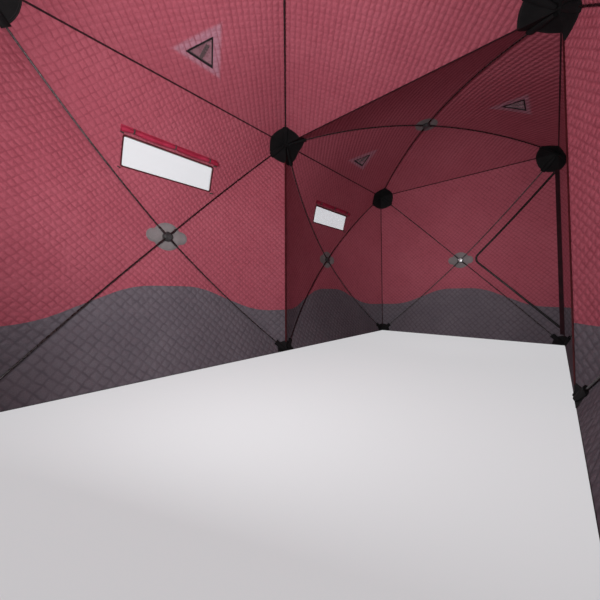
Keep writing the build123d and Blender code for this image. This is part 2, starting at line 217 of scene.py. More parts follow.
def thicken(sheet, thickness, offset):
    """Makes a sheet thick: outwards for an offset of 1, inwards for -1, and half each way for 0."""
    solid = sheet.modifiers.new("thickness", "SOLIDIFY")
    solid.thickness = thickness
    solid.offset = offset
    apply_modifiers(sheet)


def bevelled(piece, width, segments, degrees=30):
    """Rounds the edges that turn by more than this angle."""
    bevel = piece.modifiers.new("edges", "BEVEL")
    bevel.width = width
    bevel.segments = segments
    bevel.limit_method = "ANGLE"
    bevel.angle_limit = math.radians(degrees)
    apply_modifiers(piece)


def face_outwards(piece):
    """Turns the faces of closed shells outwards."""
    select_only(piece)
    bpy.ops.object.mode_set(mode="EDIT")
    bpy.ops.mesh.select_all(action="SELECT")
    bpy.ops.mesh.normals_make_consistent(inside=False)
    bpy.ops.object.mode_set(mode="OBJECT")


def smooth(piece, degrees=35):
    select_only(piece)
    bpy.ops.object.shade_smooth_by_angle(angle=math.radians(degrees))


def step(low, high, value):
    """0 below low, 1 above high, and a smooth rise between."""
    t = min(1, max(0, (value - low) / (high - low)))
    return t * t * (3 - 2 * t)


# %% Finishing a piece
def lay_map(piece, rule):
    """Gives a piece its one UV map, in metres of its cloth, by a rule. A map that a cut left behind goes."""
    mesh = piece.data
    while mesh.uv_layers:
        mesh.uv_layers.remove(mesh.uv_layers[0])
    layer = mesh.uv_layers.new(name="cloth")
    for loop in mesh.loops:
        layer.data[loop.index].uv = rule(mesh.vertices[loop.vertex_index].co)


def wear(piece, material):
    piece.data.materials.clear()
    piece.data.materials.append(material)


def settle(piece, material, body, slot, *nodes):
    """Gives a piece its finish, says what it rides on and the plain nodes that it stands for. The slot is
    not used.
    """
    wear(piece, material)
    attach(piece, body)
    if nodes:
        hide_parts(*nodes)
    print(f"{piece.name}: {len(piece.data.polygons)} faces on {body}")


# %% [markdown]
# ## A toolbox for finishes
# A finish is a small net of nodes. The ones here share three patterns: the stitched diamonds of the
# quilting, a fine weave, and a slow cloudy change of tone such as real dyed cloth has. They read the
# piece's own UV map, which holds u and v in metres, so the pattern follows the cloth round the bow.


# %% A material with short calls
class Finish:
    """A material with short calls for its nodes."""

    def __init__(self, name, colour, roughness, metallic=0.0):
        self.material = bpy.data.materials.new(name)
        self.material.use_nodes = True
        self.material.diffuse_color = (*colour, 1)
        self.nodes = self.material.node_tree.nodes
        self.links = self.material.node_tree.links
        self.shader = self.nodes["Principled BSDF"]
        self.shader.inputs["Base Color"].default_value = (*colour, 1)
        self.shader.inputs["Roughness"].default_value = roughness
        self.shader.inputs["Metallic"].default_value = metallic

    def link(self, source, target):
        self.links.new(source, target)

    def coordinates(self, kind, turn=0.0, scale=1.0):
        place = self.nodes.new("ShaderNodeTexCoord")
        mapping = self.nodes.new("ShaderNodeMapping")
        mapping.inputs["Rotation"].default_value = (0, 0, turn)
        mapping.inputs["Scale"].default_value = (scale, scale, scale)
        self.link(place.outputs[kind], mapping.inputs["Vector"])
        return mapping.outputs["Vector"]

    def math(self, operation, a, b=None):
        node = self.nodes.new("ShaderNodeMath")
        node.operation = operation
        for socket, value in zip(node.inputs, (a, b)):
            if value is None:
                continue
            if isinstance(value, (int, float)):
                socket.default_value = value
            else:
                self.link(value, socket)
        return node.outputs["Value"]

    def ramp(self, value, low, high, out_low=0.0, out_high=1.0):
        node = self.nodes.new("ShaderNodeMapRange")
        node.interpolation_type = "SMOOTHSTEP"
        limits = {"From Min": low, "From Max": high, "To Min": out_low, "To Max": out_high}
        for name, number in limits.items():
            node.inputs[name].default_value = number
        self.link(value, node.inputs["Value"])
        return node.outputs["Result"]

    def noise(self, vector, scale, detail=2.0):
        node = self.nodes.new("ShaderNodeTexNoise")
        node.inputs["Scale"].default_value = scale
        node.inputs["Detail"].default_value = detail
        self.link(vector, node.inputs["Vector"])
        return node.outputs["Fac"]

    def blend(self, factor, first, second):
        """A mix of two colours, by a socket. Each colour is three numbers or a socket."""
        node = self.nodes.new("ShaderNodeMix")
        node.data_type = "RGBA"
        self.link(factor, node.inputs["Factor"])
        for socket, colour in ((node.inputs[6], first), (node.inputs[7], second)):
            if isinstance(colour, tuple):
                socket.default_value = (*colour, 1)
            else:
                self.link(colour, socket)
        return node.outputs[2]

    def paint(self, colour):
        self.link(colour, self.shader.inputs["Base Color"])

    def parts(self, vector):
        """The separate numbers of a vector."""
        node = self.nodes.new("ShaderNodeSeparateXYZ")
        self.link(vector, node.inputs["Vector"])
        return node.outputs

    def bump(self, height, distance, strength):
        node = self.nodes.new("ShaderNodeBump")
        node.inputs["Distance"].default_value = distance
        node.inputs["Strength"].default_value = strength
        self.link(height, node.inputs["Height"])
        self.link(node.outputs["Normal"], self.shader.inputs["Normal"])


# %% Two patterns
def diamonds(finish, pitch, sway):
    """Distances to the two sets of stitch lines of a diamond quilting: 0 on a line, 0.5 between two."""
    place = finish.coordinates("UV", turn=math.radians(45), scale=1 / pitch)
    parts = finish.parts(place)
    distances = []
    for axis, waviness in (("X", 0.9), ("Y", 1.1)):
        bend = finish.math("SUBTRACT", finish.noise(place, waviness, 1.0), 0.5)
        bend = finish.math("MULTIPLY", bend, sway)
        distances.append(finish.math("PINGPONG", finish.math("ADD", parts[axis], bend), 0.5))
    return distances


def weave(finish, threads_per_metre):
    """A fine plain weave, from 0 to 1."""
    parts = finish.parts(finish.coordinates("UV", scale=threads_per_metre))
    across = finish.math("PINGPONG", parts["X"], 0.5)
    along = finish.math("PINGPONG", parts["Y"], 0.5)
    return finish.math("ADD", across, along)


# %% [markdown]
# ## The finishes of the hut
# The base colours are the cloth's own, taken at an even light: a dusty crimson for the quilted squares, a
# blue grey for the lower cloth, and near black for the heavy corners, poles and tapes. The quilted cloth
# gets painted shade along its stitch lines, a weave, and a slow cloudy change of tone, and the roof a
# painted shadow of each vent's hood.


# %% The colours and sizes of the quilting
RED_PITCH = 0.038  # from one stitch line to the next
GREY_PITCH = 0.05
CRIMSON = (0.36, 0.088, 0.12)
# the deep tones paint the shade in the stitch lines' grooves, and the cloth's dark flecks
CRIMSON_DEEP = (0.2, 0.04, 0.058)
CRIMSON_PALE = (0.43, 0.12, 0.157)
# the painted shadow of a vent's hood on the roof cloth, a paler lilac
HOOD_SHADOW_LILAC = (0.39, 0.21, 0.27)
GREY = (0.128, 0.115, 0.134)
GREY_DEEP = (0.066, 0.058, 0.07)
GREY_PALE = (0.175, 0.16, 0.182)
HOOD_SIDE, HOOD_FROM_EAVE = 0.39, 0.192  # the vents' hoods are triangles with their base to the eave
HOOD_TALL = HOOD_SIDE * math.sqrt(3) / 2
HOOD_HALF_APEX = math.radians(30)
print("a square is", round(MODULE / RED_PITCH), "stitch lines across")


# %% Quilted cloth
def painted_hood_shadow(finish):
    """1 where the hood's shadow is painted on the cloth round a vent, as a paler lilac, fading at its edge.
    The UV map's 0, 0 is the hub.
    """
    parts = finish.parts(finish.coordinates("UV"))
    across = finish.math("ABSOLUTE", parts["X"])
    from_hub = finish.math("ABSOLUTE", parts["Y"])
    from_base = finish.math("SUBTRACT", HALF - HOOD_FROM_EAVE, from_hub)
    from_apex = finish.math("SUBTRACT", from_hub, HALF - HOOD_FROM_EAVE - HOOD_TALL)
    slant = finish.math("MULTIPLY", from_apex, math.sin(HOOD_HALF_APEX))
    from_side = finish.math("SUBTRACT", slant, finish.math("MULTIPLY", across, math.cos(HOOD_HALF_APEX)))
    return finish.ramp(finish.math("MINIMUM", from_base, from_side), -0.006, 0.022)


def quilted_finish(name, colours, pitch, roughness, other_lines, with_hood_shadows=False):
    """Quilted cloth: two sets of stitch lines with painted shade in their grooves, puffed middles, crinkles,
    a weave, a cloudy tone and, with hood shadows, a painted shadow round each vent.
    """
    deep, middle, pale = colours
    finish = Finish(name, middle, roughness)
    first, second = diamonds(finish, pitch, 0.45)
    place = finish.coordinates("UV")

    def both(reach):
        """0 on the stitch lines and 1 this far from them. The second set shows less."""
        return finish.math("MULTIPLY", finish.ramp(first, 0.0, reach),
                           finish.ramp(second, 0.0, reach, other_lines, 1.0))

    # Painted shade: the stitch lines are painted in the deep colour as the shade in their grooves. The
    # second set is painted fainter, as light falling along it shades it less, and noise makes the shade
    # fainter in places.
    faint = finish.ramp(finish.noise(place, 16.0, 2.0), 0.3, 0.7, 0.3, 0.7)
    depth = finish.math("MULTIPLY", finish.math("SUBTRACT", 1.0, both(0.22)), faint)
    groove = finish.math("SUBTRACT", 1.0, depth)
    cloud = finish.ramp(finish.noise(place, 2.2, 3.0), 0.35, 0.7)
    fleck = finish.ramp(finish.noise(place, 160.0, 2.0), 0.35, 0.65)
    tone = finish.blend(finish.math("MULTIPLY", cloud, 0.45), middle, pale)
    # Painted shadow: round each vent the roof is tinted the paler lilac of the hood's shadow.
    if with_hood_shadows:
        tone = finish.blend(finish.math("MULTIPLY", painted_hood_shadow(finish), 0.85), tone, HOOD_SHADOW_LILAC)
    tone = finish.blend(finish.math("MULTIPLY", fleck, 0.22), tone, deep)
    finish.paint(finish.blend(groove, deep, tone))
    finish.shader.inputs["Specular IOR Level"].default_value = 0.06
    crinkle = finish.math("MULTIPLY", finish.noise(place, 75.0, 2.0), 0.8)
    threads = finish.math("MULTIPLY", weave(finish, 700), 0.05)
    finish.bump(finish.math("ADD", finish.math("ADD", both(0.45), crinkle), threads), 0.0045, 0.9)
    return finish.material


reds = (CRIMSON_DEEP, CRIMSON, CRIMSON_PALE)
red_cloth = quilted_finish("red_quilted_cloth", reds, RED_PITCH, 0.8, 0.15)
roof_cloth = quilted_finish("red_quilted_roof", reds, RED_PITCH, 0.8, 0.5, with_hood_shadows=True)
grey_cloth = quilted_finish("grey_quilted_cloth", (GREY_DEEP, GREY, GREY_PALE), GREY_PITCH, 0.85, 0.1)
print("quilted finishes:", red_cloth.name, roof_cloth.name, grey_cloth.name)


# %% [markdown]
# Poles, hubs, zips and props are moulded or drawn. What tells them from paint is a fine grain, and places
# that hands have rubbed paler and smoother, so one function makes them all from two tones and a gloss.


# %% Moulded and drawn materials
def moulded_finish(name, deep, pale, roughness, metallic=0.0):
    """Plastic or metal with a fine grain and a few paler rubbed places."""
    finish = Finish(name, pale, roughness, metallic)
    place = finish.coordinates("Object")
    rubbed = finish.ramp(finish.noise(place, 24.0, 4.0), 0.45, 0.75)
    finish.paint(finish.blend(rubbed, deep, pale))
    gloss = finish.ramp(finish.noise(place, 60.0, 3.0), 0.2, 0.8, roughness - 0.08, roughness + 0.1)
    finish.link(gloss, finish.shader.inputs["Roughness"])
    finish.bump(finish.noise(place, 260.0, 2.0), 0.00025, 0.5)
    return finish.material


pole_finish = moulded_finish("glass_fibre_pole", (0.01, 0.004, 0.005), (0.022, 0.009, 0.01), 0.28)
hub_finish = moulded_finish("hub_nylon", (0.02, 0.02, 0.021), (0.05, 0.05, 0.053), 0.42)
steel_finish = moulded_finish("hub_cap_steel", (0.35, 0.35, 0.36), (0.55, 0.55, 0.56), 0.32, metallic=1.0)
zip_finish = moulded_finish("zip_teeth", (0.006, 0.006, 0.006), (0.016, 0.016, 0.016), 0.35)
strut_finish = moulded_finish("strut_plastic", (0.02, 0.017, 0.015), (0.04, 0.034, 0.03), 0.5)
print("moulded finishes:", pole_finish.name, hub_finish.name, steel_finish.name)


# %% The windows' film
def film_finish():
    """A clear soft film: it lets the light through, with faint waves and a soft gloss."""
    finish = Finish("clear_film", (0.93, 0.95, 0.96), 0.08)
    finish.shader.inputs["Alpha"].default_value = 0.16
    finish.shader.inputs["IOR"].default_value = 1.45
    finish.bump(finish.noise(finish.coordinates("Object"), 14.0, 2.0), 0.0015, 0.4)
    finish.material.surface_render_method = "BLENDED"
    return finish.material


clear_film = film_finish()


# %% [markdown]
# ## A square of quilted cloth
# On the real hut each square is cut from quilted cloth whose stitch lines run as diamonds, at 45 degrees to
# the seams. So the mesh starts as a grid turned by 45 degrees, one face for each diamond, and each face is
# poked, which gives it a middle point to puff out. Bisecting trims the grid to the square and adds a
# crease line under each pole. Then the points move out onto the bow, Solidify gives the cloth its
# thickness, and the diamonds are puffed on both faces.


# %% Where the quilting puffs
EAVE_CAP, BASE_CAP = 0.205, 0.11  # the radius of the black corners
HUB_FLAT = 0.15  # the cloth is flat this far from a hub, under its patch
SEAM_FLAT = 0.02
PUFF_LEFT = 0.3  # the share of its puff that the cloth keeps under a corner or a patch


def pillow(u, v, pitch):
    """0 on a stitch line and 1 in the middle of a diamond."""
    a = (u + v) / math.sqrt(2) / pitch
    b = (u - v) / math.sqrt(2) / pitch
    near = min(abs(a - round(a)), abs(b - round(b)))
    return 2 * near


def freedom(form, u, v):
    """How far the quilting can puff: less where a corner or a patch is sewn over it."""
    from_corner = min(math.hypot(HALF - abs(u), form.height - v) - EAVE_CAP,
                      math.hypot(HALF - abs(u), v) - (BASE_CAP if form is WALL else EAVE_CAP))
    from_hub = math.hypot(u, v - form.hub) - HUB_FLAT
    return PUFF_LEFT + (1 - PUFF_LEFT) * step(0.0, 0.03, min(from_corner, from_hub))


def from_line(u, v, line):
    """How far a point is from a closed outline."""
    point, nearest = Vector((u, v)), MODULE
    for start, end in zip(line, line[1:] + line[:1]):
        _, share = geometry.intersect_point_line(point, Vector(start), Vector(end))
        foot = Vector(start).lerp(Vector(end), min(1, max(0, share)))
        nearest = min(nearest, (foot - point).length)
    return nearest


# %% The quilted square
HINGE_STRAIGHT = 0.05  # the cloth of the doors' walls is drawn straight this far from the corner
FLAT_BY_HEM, FREE_FROM_HEM = 1.0, 1.6  # in stitch pitches from a hem


def drawn_bow(form, hem):
    """The bow of a square. Where it has a hem it also has a hinge, and is drawn straight beside it."""
    def bow(u, v):
        from_side = HALF - abs(u)
        if not hem or from_side > HINGE_STRAIGHT:
            return form.bulge(u, v)
        inner = form.bulge(math.copysign(HALF - HINGE_STRAIGHT, u), v)
        return from_side / HINGE_STRAIGHT * inner

    return bow


def turned_grid(name, form, pitch, low):
    """One face for each diamond, poked, trimmed to the square and creased under the poles."""
    count = 2 * math.ceil((math.hypot(MODULE, MODULE) + 6 * pitch) / pitch / 2)
    piece = flat_grid(name, count, count, count * pitch, (0, form.hub, 0), math.radians(45))
    bpy.ops.object.mode_set(mode="EDIT")
    bpy.ops.mesh.select_all(action="SELECT")
    bpy.ops.mesh.poke()
    trim((HALF, 0, 0), (1, 0, 0), outer=True)
    trim((-HALF, 0, 0), (-1, 0, 0), outer=True)
    trim((0, form.height, 0), (0, 1, 0), outer=True)
    trim((0, low, 0), (0, -1, 0), outer=True)
    for side in (-1, 1):
        for reach_v in (-form.hub, form.height - form.hub):
            trim((0, form.hub, 0), (reach_v, -side * HALF, 0))
    bpy.ops.object.mode_set(mode="OBJECT")
    return piece


def quilted_square(name, form, pitch, puff, hem=None):
    """A whole bowed square of quilted cloth, closed, in its own axes. Along a hem it lies flat."""
    low = HEM if form is WALL else 0
    bow = drawn_bow(form, hem)
    piece = turned_grid(name, form, pitch, low)
    for vertex in piece.data.vertices:
        vertex.co.z = bow(vertex.co.x, vertex.co.y)
    thicken(piece, CLOTH, 1)
    for vertex in piece.data.vertices:
        u, v, n = vertex.co
        lift = puff * pillow(u, v - form.hub, pitch)
        lift *= step(0, SEAM_FLAT, form.share(u, v) * HALF) * freedom(form, u, v)
        if hem:
            lift *= step(FLAT_BY_HEM * pitch, FREE_FROM_HEM * pitch, from_line(u, v, hem))
        outside = n - bow(u, v) > CLOTH / 2
        vertex.co.x = min(HALF, max(-HALF, u))
        vertex.co.y = min(form.height, max(low, v))
        vertex.co.z += lift if outside else -lift
    print(name, "has", len(piece.data.polygons), "faces")
    return piece


# %% Whole squares of each cloth
RED_PUFF, GREY_PUFF = 0.0022, 0.0028  # how far the middle of a diamond stands out
red_wall = quilted_square("red_wall", WALL, RED_PITCH, RED_PUFF)
grey_wall = quilted_square("grey_wall", WALL, GREY_PITCH, GREY_PUFF)
red_roof = quilted_square("red_roof", ROOF, RED_PITCH, RED_PUFF)


# %% [markdown]
# ## Cutting the squares to their pattern
# A maker cuts each square by a paper pattern: the grey lower cloth with its round shoulders, the window,
# the vent and the door. Here the paper pattern is a flat outline, extruded into a block, and a Boolean
# keeps the cloth that lies inside it. The outline is written from the same few sizes as the hut.


# %% The sizes of the pattern
BAND_SIDE, BAND_CROWN = 0.43, 0.665  # the height of the grey cloth at the corners and under the hub
BAND_CROWN_HALF, BAND_FOOT_HALF = 0.265, 0.815  # where its shoulders start and end, from the middle
BAND_ROUND = 0.7  # the radius of the shoulders' bends
ZIP_OFFSET, ZIP_APEX = 0.115, 0.085  # from the poles to the zip, and the radius of its turn by the hub
HINGE_INSET = 0.014  # from the corner seam to the doorway
DOOR_GAP = 0.005  # between the doorway's edge and the door
WINDOW_W, WINDOW_H, WINDOW_SILL = 0.71, 0.205, 1.54
WINDOW_CORNER = 0.012
VENT_SIDE, VENT_FROM_EAVE = 0.192, 0.236
VENT_TALL = VENT_SIDE * math.sqrt(3) / 2
OVER = 0.1  # an outline runs this far past the square's edge
CIRCLE_POINTS = 64
PATTERN_REACH = 0.6  # the block reaches this far to both sides of the square's flat
print("a window is", WINDOW_W, "by", WINDOW_H, "m and a vent", VENT_SIDE, "m wide")


# %% Outlines with round corners
def rounded(points, radii, parts=8):
    """An outline with some corners rounded by arcs."""
    made = []
    for place, (point, radius) in enumerate(zip(points, radii)):
        point = Vector(point)
        before = (Vector(points[place - 1]) - point).normalized()
        after = (Vector(points[(place + 1) % len(points)]) - point).normalized()
        if radius == 0:
            made.append(tuple(point))
            continue
        half_angle = before.angle(after) / 2
        reach = radius / math.tan(half_angle)
        middle = point + (before + after).normalized() * (radius / math.sin(half_angle))
        first = (point + before * reach - middle).normalized()
        last = (point + after * reach - middle).normalized()
        for number in range(parts + 1):
            made.append(tuple(middle + first.slerp(last, number / parts) * radius))
    return made


# %% The outlines of the cuts
def band_line():
    """The top of the grey cloth, from right to left."""
    points = [(HALF + OVER, BAND_SIDE), (BAND_FOOT_HALF, BAND_SIDE), (BAND_CROWN_HALF, BAND_CROWN)]
    points += [(-u, v) for u, v in reversed(points)]
    closed = points + [(-HALF - OVER, -OVER), (HALF + OVER, -OVER)]
    return rounded(closed, [0, BAND_ROUND, BAND_ROUND, BAND_ROUND, BAND_ROUND, 0, 0, 0])[:-2]


def door_outline(side, shrink):
    """The door beside a corner, with a round apex by the hub."""
    low_slope, high_slope = WALL_HUB / HALF, (EAVE - WALL_HUB) / HALF
    offset = ZIP_OFFSET + shrink
    low = offset * math.hypot(1, low_slope)
    high = offset * math.hypot(1, high_slope)
    apex = (EAVE - low - high) / (low_slope + high_slope)
    edge = HINGE_INSET + shrink
    points = [
        (side * (HALF - edge), low + low_slope * edge),
        (side * (HALF - apex), low + low_slope * apex),
        (side * (HALF - edge), EAVE - high - high_slope * edge),
    ]
    return rounded(points, [0, ZIP_APEX, 0])


def window_outline(grow=0.0):
    w, low, high = WINDOW_W / 2 + grow, WINDOW_SILL - grow, WINDOW_SILL + WINDOW_H + grow
    corner = WINDOW_CORNER + grow / 2
    return rounded([(-w, low), (w, low), (w, high), (-w, high)], [corner] * 4, 4)


def circle(u, v, radius):
    turns = [2 * math.pi * number / CIRCLE_POINTS for number in range(CIRCLE_POINTS)]
    return [(u + radius * math.cos(a), v + radius * math.sin(a)) for a in turns]


def vent_outline(flip, grow=0.0):
    """The vent's triangle: base towards the eave, apex towards the ridge."""
    side = VENT_SIDE + 2 * math.sqrt(3) * grow
    base = VENT_FROM_EAVE - grow
    points = [(-side / 2, base), (side / 2, base), (0, base + side * math.sqrt(3) / 2)]
    return [(u, MODULE - v) for u, v in points] if flip else points


print("the band's top has", len(band_line()), "points; the door", len(door_outline(-1, 0)))


# %% [markdown]
# The outline becomes a flat curve, because a curve fills itself and leaves a hole where one outline lies
# in another. Extruded and turned to a mesh it is the block, and the exact Boolean cuts even where the
# block's sides pass close to the cloth's own points.


# %% Cutting with an outline
def pattern_block(name, outlines):
    """A closed block from flat outlines. An outline inside another is a hole in it."""
    curve = bpy.data.curves.new(name, "CURVE")
    curve.dimensions = "2D"
    curve.fill_mode = "BOTH"
    curve.extrude = PATTERN_REACH
    for outline in outlines:
        spline = curve.splines.new("POLY")
        spline.points.add(len(outline) - 1)
        for point, (u, v) in zip(spline.points, outline):
            point.co = (u, v, 0, 1)
        spline.use_cyclic_u = True
    block = bpy.data.objects.new(name, curve)
    bpy.context.scene.collection.objects.link(block)
    select_only(block)
    bpy.ops.object.convert(target="MESH")
    block = newest(name)
    bpy.ops.object.mode_set(mode="EDIT")
    bpy.ops.mesh.select_all(action="SELECT")
    bpy.ops.mesh.remove_doubles(threshold=1e-6)
    bpy.ops.mesh.normals_make_consistent(inside=False)
    bpy.ops.object.mode_set(mode="OBJECT")
    return block


def cut(cloth, name, outlines, operation="INTERSECT"):
    """What of a cloth lies inside the outlines, or outside them for a DIFFERENCE."""
    block = pattern_block(name + "_pattern", outlines)
    piece = twin(cloth, name)
    boolean = piece.modifiers.new("cut", "BOOLEAN")
    boolean.operation = operation
    boolean.solver = "EXACT"
    boolean.object = block
    apply_modifiers(piece)
    drop(block)
    print(name, "cut:", len(piece.data.polygons), "faces")
    return piece


# %% Cutting the long walls and the roofs
TUCK = 0.012  # the cloth runs this far in under the black corners
LID = [(-HALF - OVER, EAVE + OVER), (HALF + OVER, EAVE + OVER)]
BASE = [(-HALF - OVER, -OVER), (HALF + OVER, -OVER)]
above_band = band_line() + LID
below_band = band_line() + BASE
eave_rounds = [circle(side * HALF, EAVE, EAVE_CAP - TUCK) for side in (-1, 1)]
base_rounds = [circle(side * HALF, 0, BASE_CAP - TUCK) for side in (-1, 1)]
roof_rounds = [circle(side * HALF, v, EAVE_CAP - TUCK) for side in (-1, 1) for v in (0, MODULE)]

whole_red = cut(red_wall, "whole_red", [above_band])
whole_grey = cut(grey_wall, "whole_grey", [below_band])
side_red = cut(whole_red, "side_red", eave_rounds + [window_outline()], "DIFFERENCE")
side_grey = cut(whole_grey, "side_grey", base_rounds, "DIFFERENCE")
roof_red = cut(red_roof, "roof_red", roof_rounds + [vent_outline(False), vent_outline(True)], "DIFFERENCE")


# %% [markdown]
# The door is cut out of the end wall's cloth, with a gap all round that the zip's tape closes. The hole and
# the door are cut from the same square, so the stitch lines run on from the wall into the door.


# %% The end walls and their doors
FAR_DOOR_SIDE = -1
door_hole = [door_outline(FAR_DOOR_SIDE, 0)]
door_sheet = [door_outline(FAR_DOOR_SIDE, DOOR_GAP)]
zip_line = door_outline(FAR_DOOR_SIDE, DOOR_GAP / 2)
hemmed_red = quilted_square("hemmed_red", WALL, RED_PITCH, RED_PUFF, zip_line)
hemmed_grey = quilted_square("hemmed_grey", WALL, GREY_PITCH, GREY_PUFF, zip_line)
whole_end_red = cut(hemmed_red, "whole_end_red", [above_band])
whole_end_grey = cut(hemmed_grey, "whole_end_grey", [below_band])
end_open_red = cut(whole_end_red, "end_open_red", door_hole, "DIFFERENCE")
end_open_grey = cut(whole_end_grey, "end_open_grey", door_hole, "DIFFERENCE")
end_red = cut(end_open_red, "end_red", eave_rounds, "DIFFERENCE")
end_grey = cut(end_open_grey, "end_grey", base_rounds, "DIFFERENCE")
door_square_red = cut(whole_end_red, "door_square_red", door_sheet)
door_square_grey = cut(whole_end_grey, "door_square_grey", door_sheet)
door_eave = [circle(-HALF, EAVE, EAVE_CAP + DOOR_GAP)]
door_base = [circle(-HALF, 0, BASE_CAP + DOOR_GAP)]
door_red = cut(door_square_red, "door_red", door_eave, "DIFFERENCE")
door_grey = cut(door_square_grey, "door_grey", door_base, "DIFFERENCE")


# %% [markdown]
# ## Hanging the cloth
# Real cloth is never quite even: between the poles it has slow, shallow waves. Each square gets its own,
# from a noise that starts at another place, and they fade out at the poles, seams, window and vents, where
# the cloth is sewn and taut. The waves move both faces together, so the cloth keeps its thickness.


# %% The slow waves
WAVE_HEIGHT = 0.006
WAVE_LENGTH = 0.42
QUICK = 3.1  # a second, weaker noise is this much quicker
TAUT_BY_POLE, TAUT_BY_SEAM = (0.14, 0.34), (0.0, 0.3)  # no waves up to the first, free from the second
TAUT_BY_WINDOW, TAUT_BY_VENT = (0.07, 0.25), (0.27, 0.45)
VENT_MIDDLE = 0.3
SEEDS = {name: 3.7 * number for number, name in enumerate(SQUARES)}


def looseness(form, u, v):
    """How free the cloth is to wave at a point: 0 where it is sewn or taut, 1 in the open."""
    free = step(*TAUT_BY_POLE, form.from_pole(u, v)) * step(*TAUT_BY_SEAM, form.share(u, v) * HALF)
    if form is WALL:
        from_window = max(abs(u) - WINDOW_W / 2, WINDOW_SILL - v, v - WINDOW_SILL - WINDOW_H)
        return free * step(*TAUT_BY_WINDOW, from_window)
    from_vent = min(math.hypot(u, v - VENT_MIDDLE), math.hypot(u, MODULE - VENT_MIDDLE - v))
    return free * step(*TAUT_BY_VENT, from_vent)


def wave(form, u, v, seed):
    """The slow waves of the cloth, outwards or inwards."""
    free = looseness(form, u, v)
    if free == 0:
        return 0.0
    slow = noise.noise(Vector((u / WAVE_LENGTH, v / WAVE_LENGTH, seed)))
    quick = noise.noise(Vector((u / WAVE_LENGTH * QUICK, v / WAVE_LENGTH * QUICK, seed + 40)))
    return free * WAVE_HEIGHT * (slow + 0.25 * quick)


print("the slow waves are up to", WAVE_HEIGHT * 1000, "mm high")


# %% Placing a cut piece on its square
def hang(master, name, square, mirrored=False):
    """A copy of a cut piece, placed on its square of the hut, with its UV map and its own waves."""
    form, matrix = SQUARES[square]
    piece = twin(master, name)
    mesh = piece.data
    if mirrored:
        mesh.transform(Matrix.Scale(-1, 4, (1, 0, 0)))
        mesh.flip_normals()
    lay_map(piece, lambda co: (co.x, co.y - form.hub))
    for vertex in mesh.vertices:
        vertex.co.z += wave(form, vertex.co.x, vertex.co.y, SEEDS[square])
    mesh.transform(matrix)
    smooth(piece)
    return piece


def area_of(piece):
    """Half of a closed sheet's surface is the cloth's own area."""
    return sum(polygon.area for polygon in piece.data.polygons) / 2


def hang_pair(red_master, grey_master, square, nodes, mirrored=False):
    """The red cloth of a wall and the grey cloth below it."""
    red = hang(red_master, f"cloth_{square}", square, mirrored)
    settle(red, red_cloth, "root", "red_cloth", *nodes)
    grey = hang(grey_master, f"lower_cloth_{square}", square, mirrored)
    settle(grey, grey_cloth, "root", "grey_cloth", "band_" + square)


for square in SIDES:
    hang_pair(side_red, side_grey, square, ["wall_" + square])

for square in ENDS:
    end = square.split("_")[1]
    mirrored = square == "end_near"
    nodes = [f"wall_{square}_{part}" for part in ("top", "side", "bottom")] + ["hinge_seams"]
    hang_pair(end_red, end_grey, square, nodes, mirrored)
    door = "door_" + end
    leaf = hang(door_red, f"door_cloth_{end}", square, mirrored)
    settle(leaf, red_cloth, end + "_door", "red_cloth", door)
    foot = hang(door_grey, f"door_lower_cloth_{end}", square, mirrored)
    settle(foot, grey_cloth, end + "_door", "grey_cloth", door + "_band")

for square in ROOFS:
    red = hang(roof_red, f"cloth_{square}", square)
    settle(red, roof_cloth, "root", "red_cloth", square)

drop(red_wall, grey_wall, red_roof, whole_red, whole_grey, side_red, side_grey, roof_red, end_open_red)
drop(hemmed_red, hemmed_grey, whole_end_red, whole_end_grey)
drop(end_open_grey, end_red, end_grey, door_square_red, door_square_grey, door_red, door_grey)


# %% [markdown]
# ## Strips of cloth
# Tapes, bindings, panes and the skirt are all narrow or small sheets that follow something. Each starts
# as a flat grid; a short rule gives every point of the grid its place, and Solidify gives it its
# thickness. The strip's own UV map keeps how far along it a point is, and how far from its
# nearest long edge, so that a finish can draw its rows of stitches.


# %% A strip that follows a rule
def spot(square, u, v, lift=0.0):
    """A point of the hut, from a square's own axes. Lift 0 is the cloth's inner face."""
    form, matrix = SQUARES[square]
    return matrix @ Vector((u, v, form.bulge(u, v) + lift))


def strip(name, place, width, length, cells_across, cells_along, thick):
    """A sheet whose point at (across, along) is put at place(across, along). Across is 0 in its middle."""
    piece = flat_grid(name, cells_across, cells_along)
    lay_map(piece, lambda co: ((co.y + 0.5) * length, (0.5 - abs(co.x)) * width))
    for vertex in piece.data.vertices:
        vertex.co = place(vertex.co.x * width, (vertex.co.y + 0.5) * length)
    thicken(piece, thick, 0)
    smooth(piece)
    return piece


# %% [markdown]
# The heavier cloths are plain woven ones, and what shows their scale is the sewing: rows of stitches at a
# few millimetres from the edge. The UV map's second number is the distance from the edge, so a row is a
# thin line at that number, broken into stitches by the first.


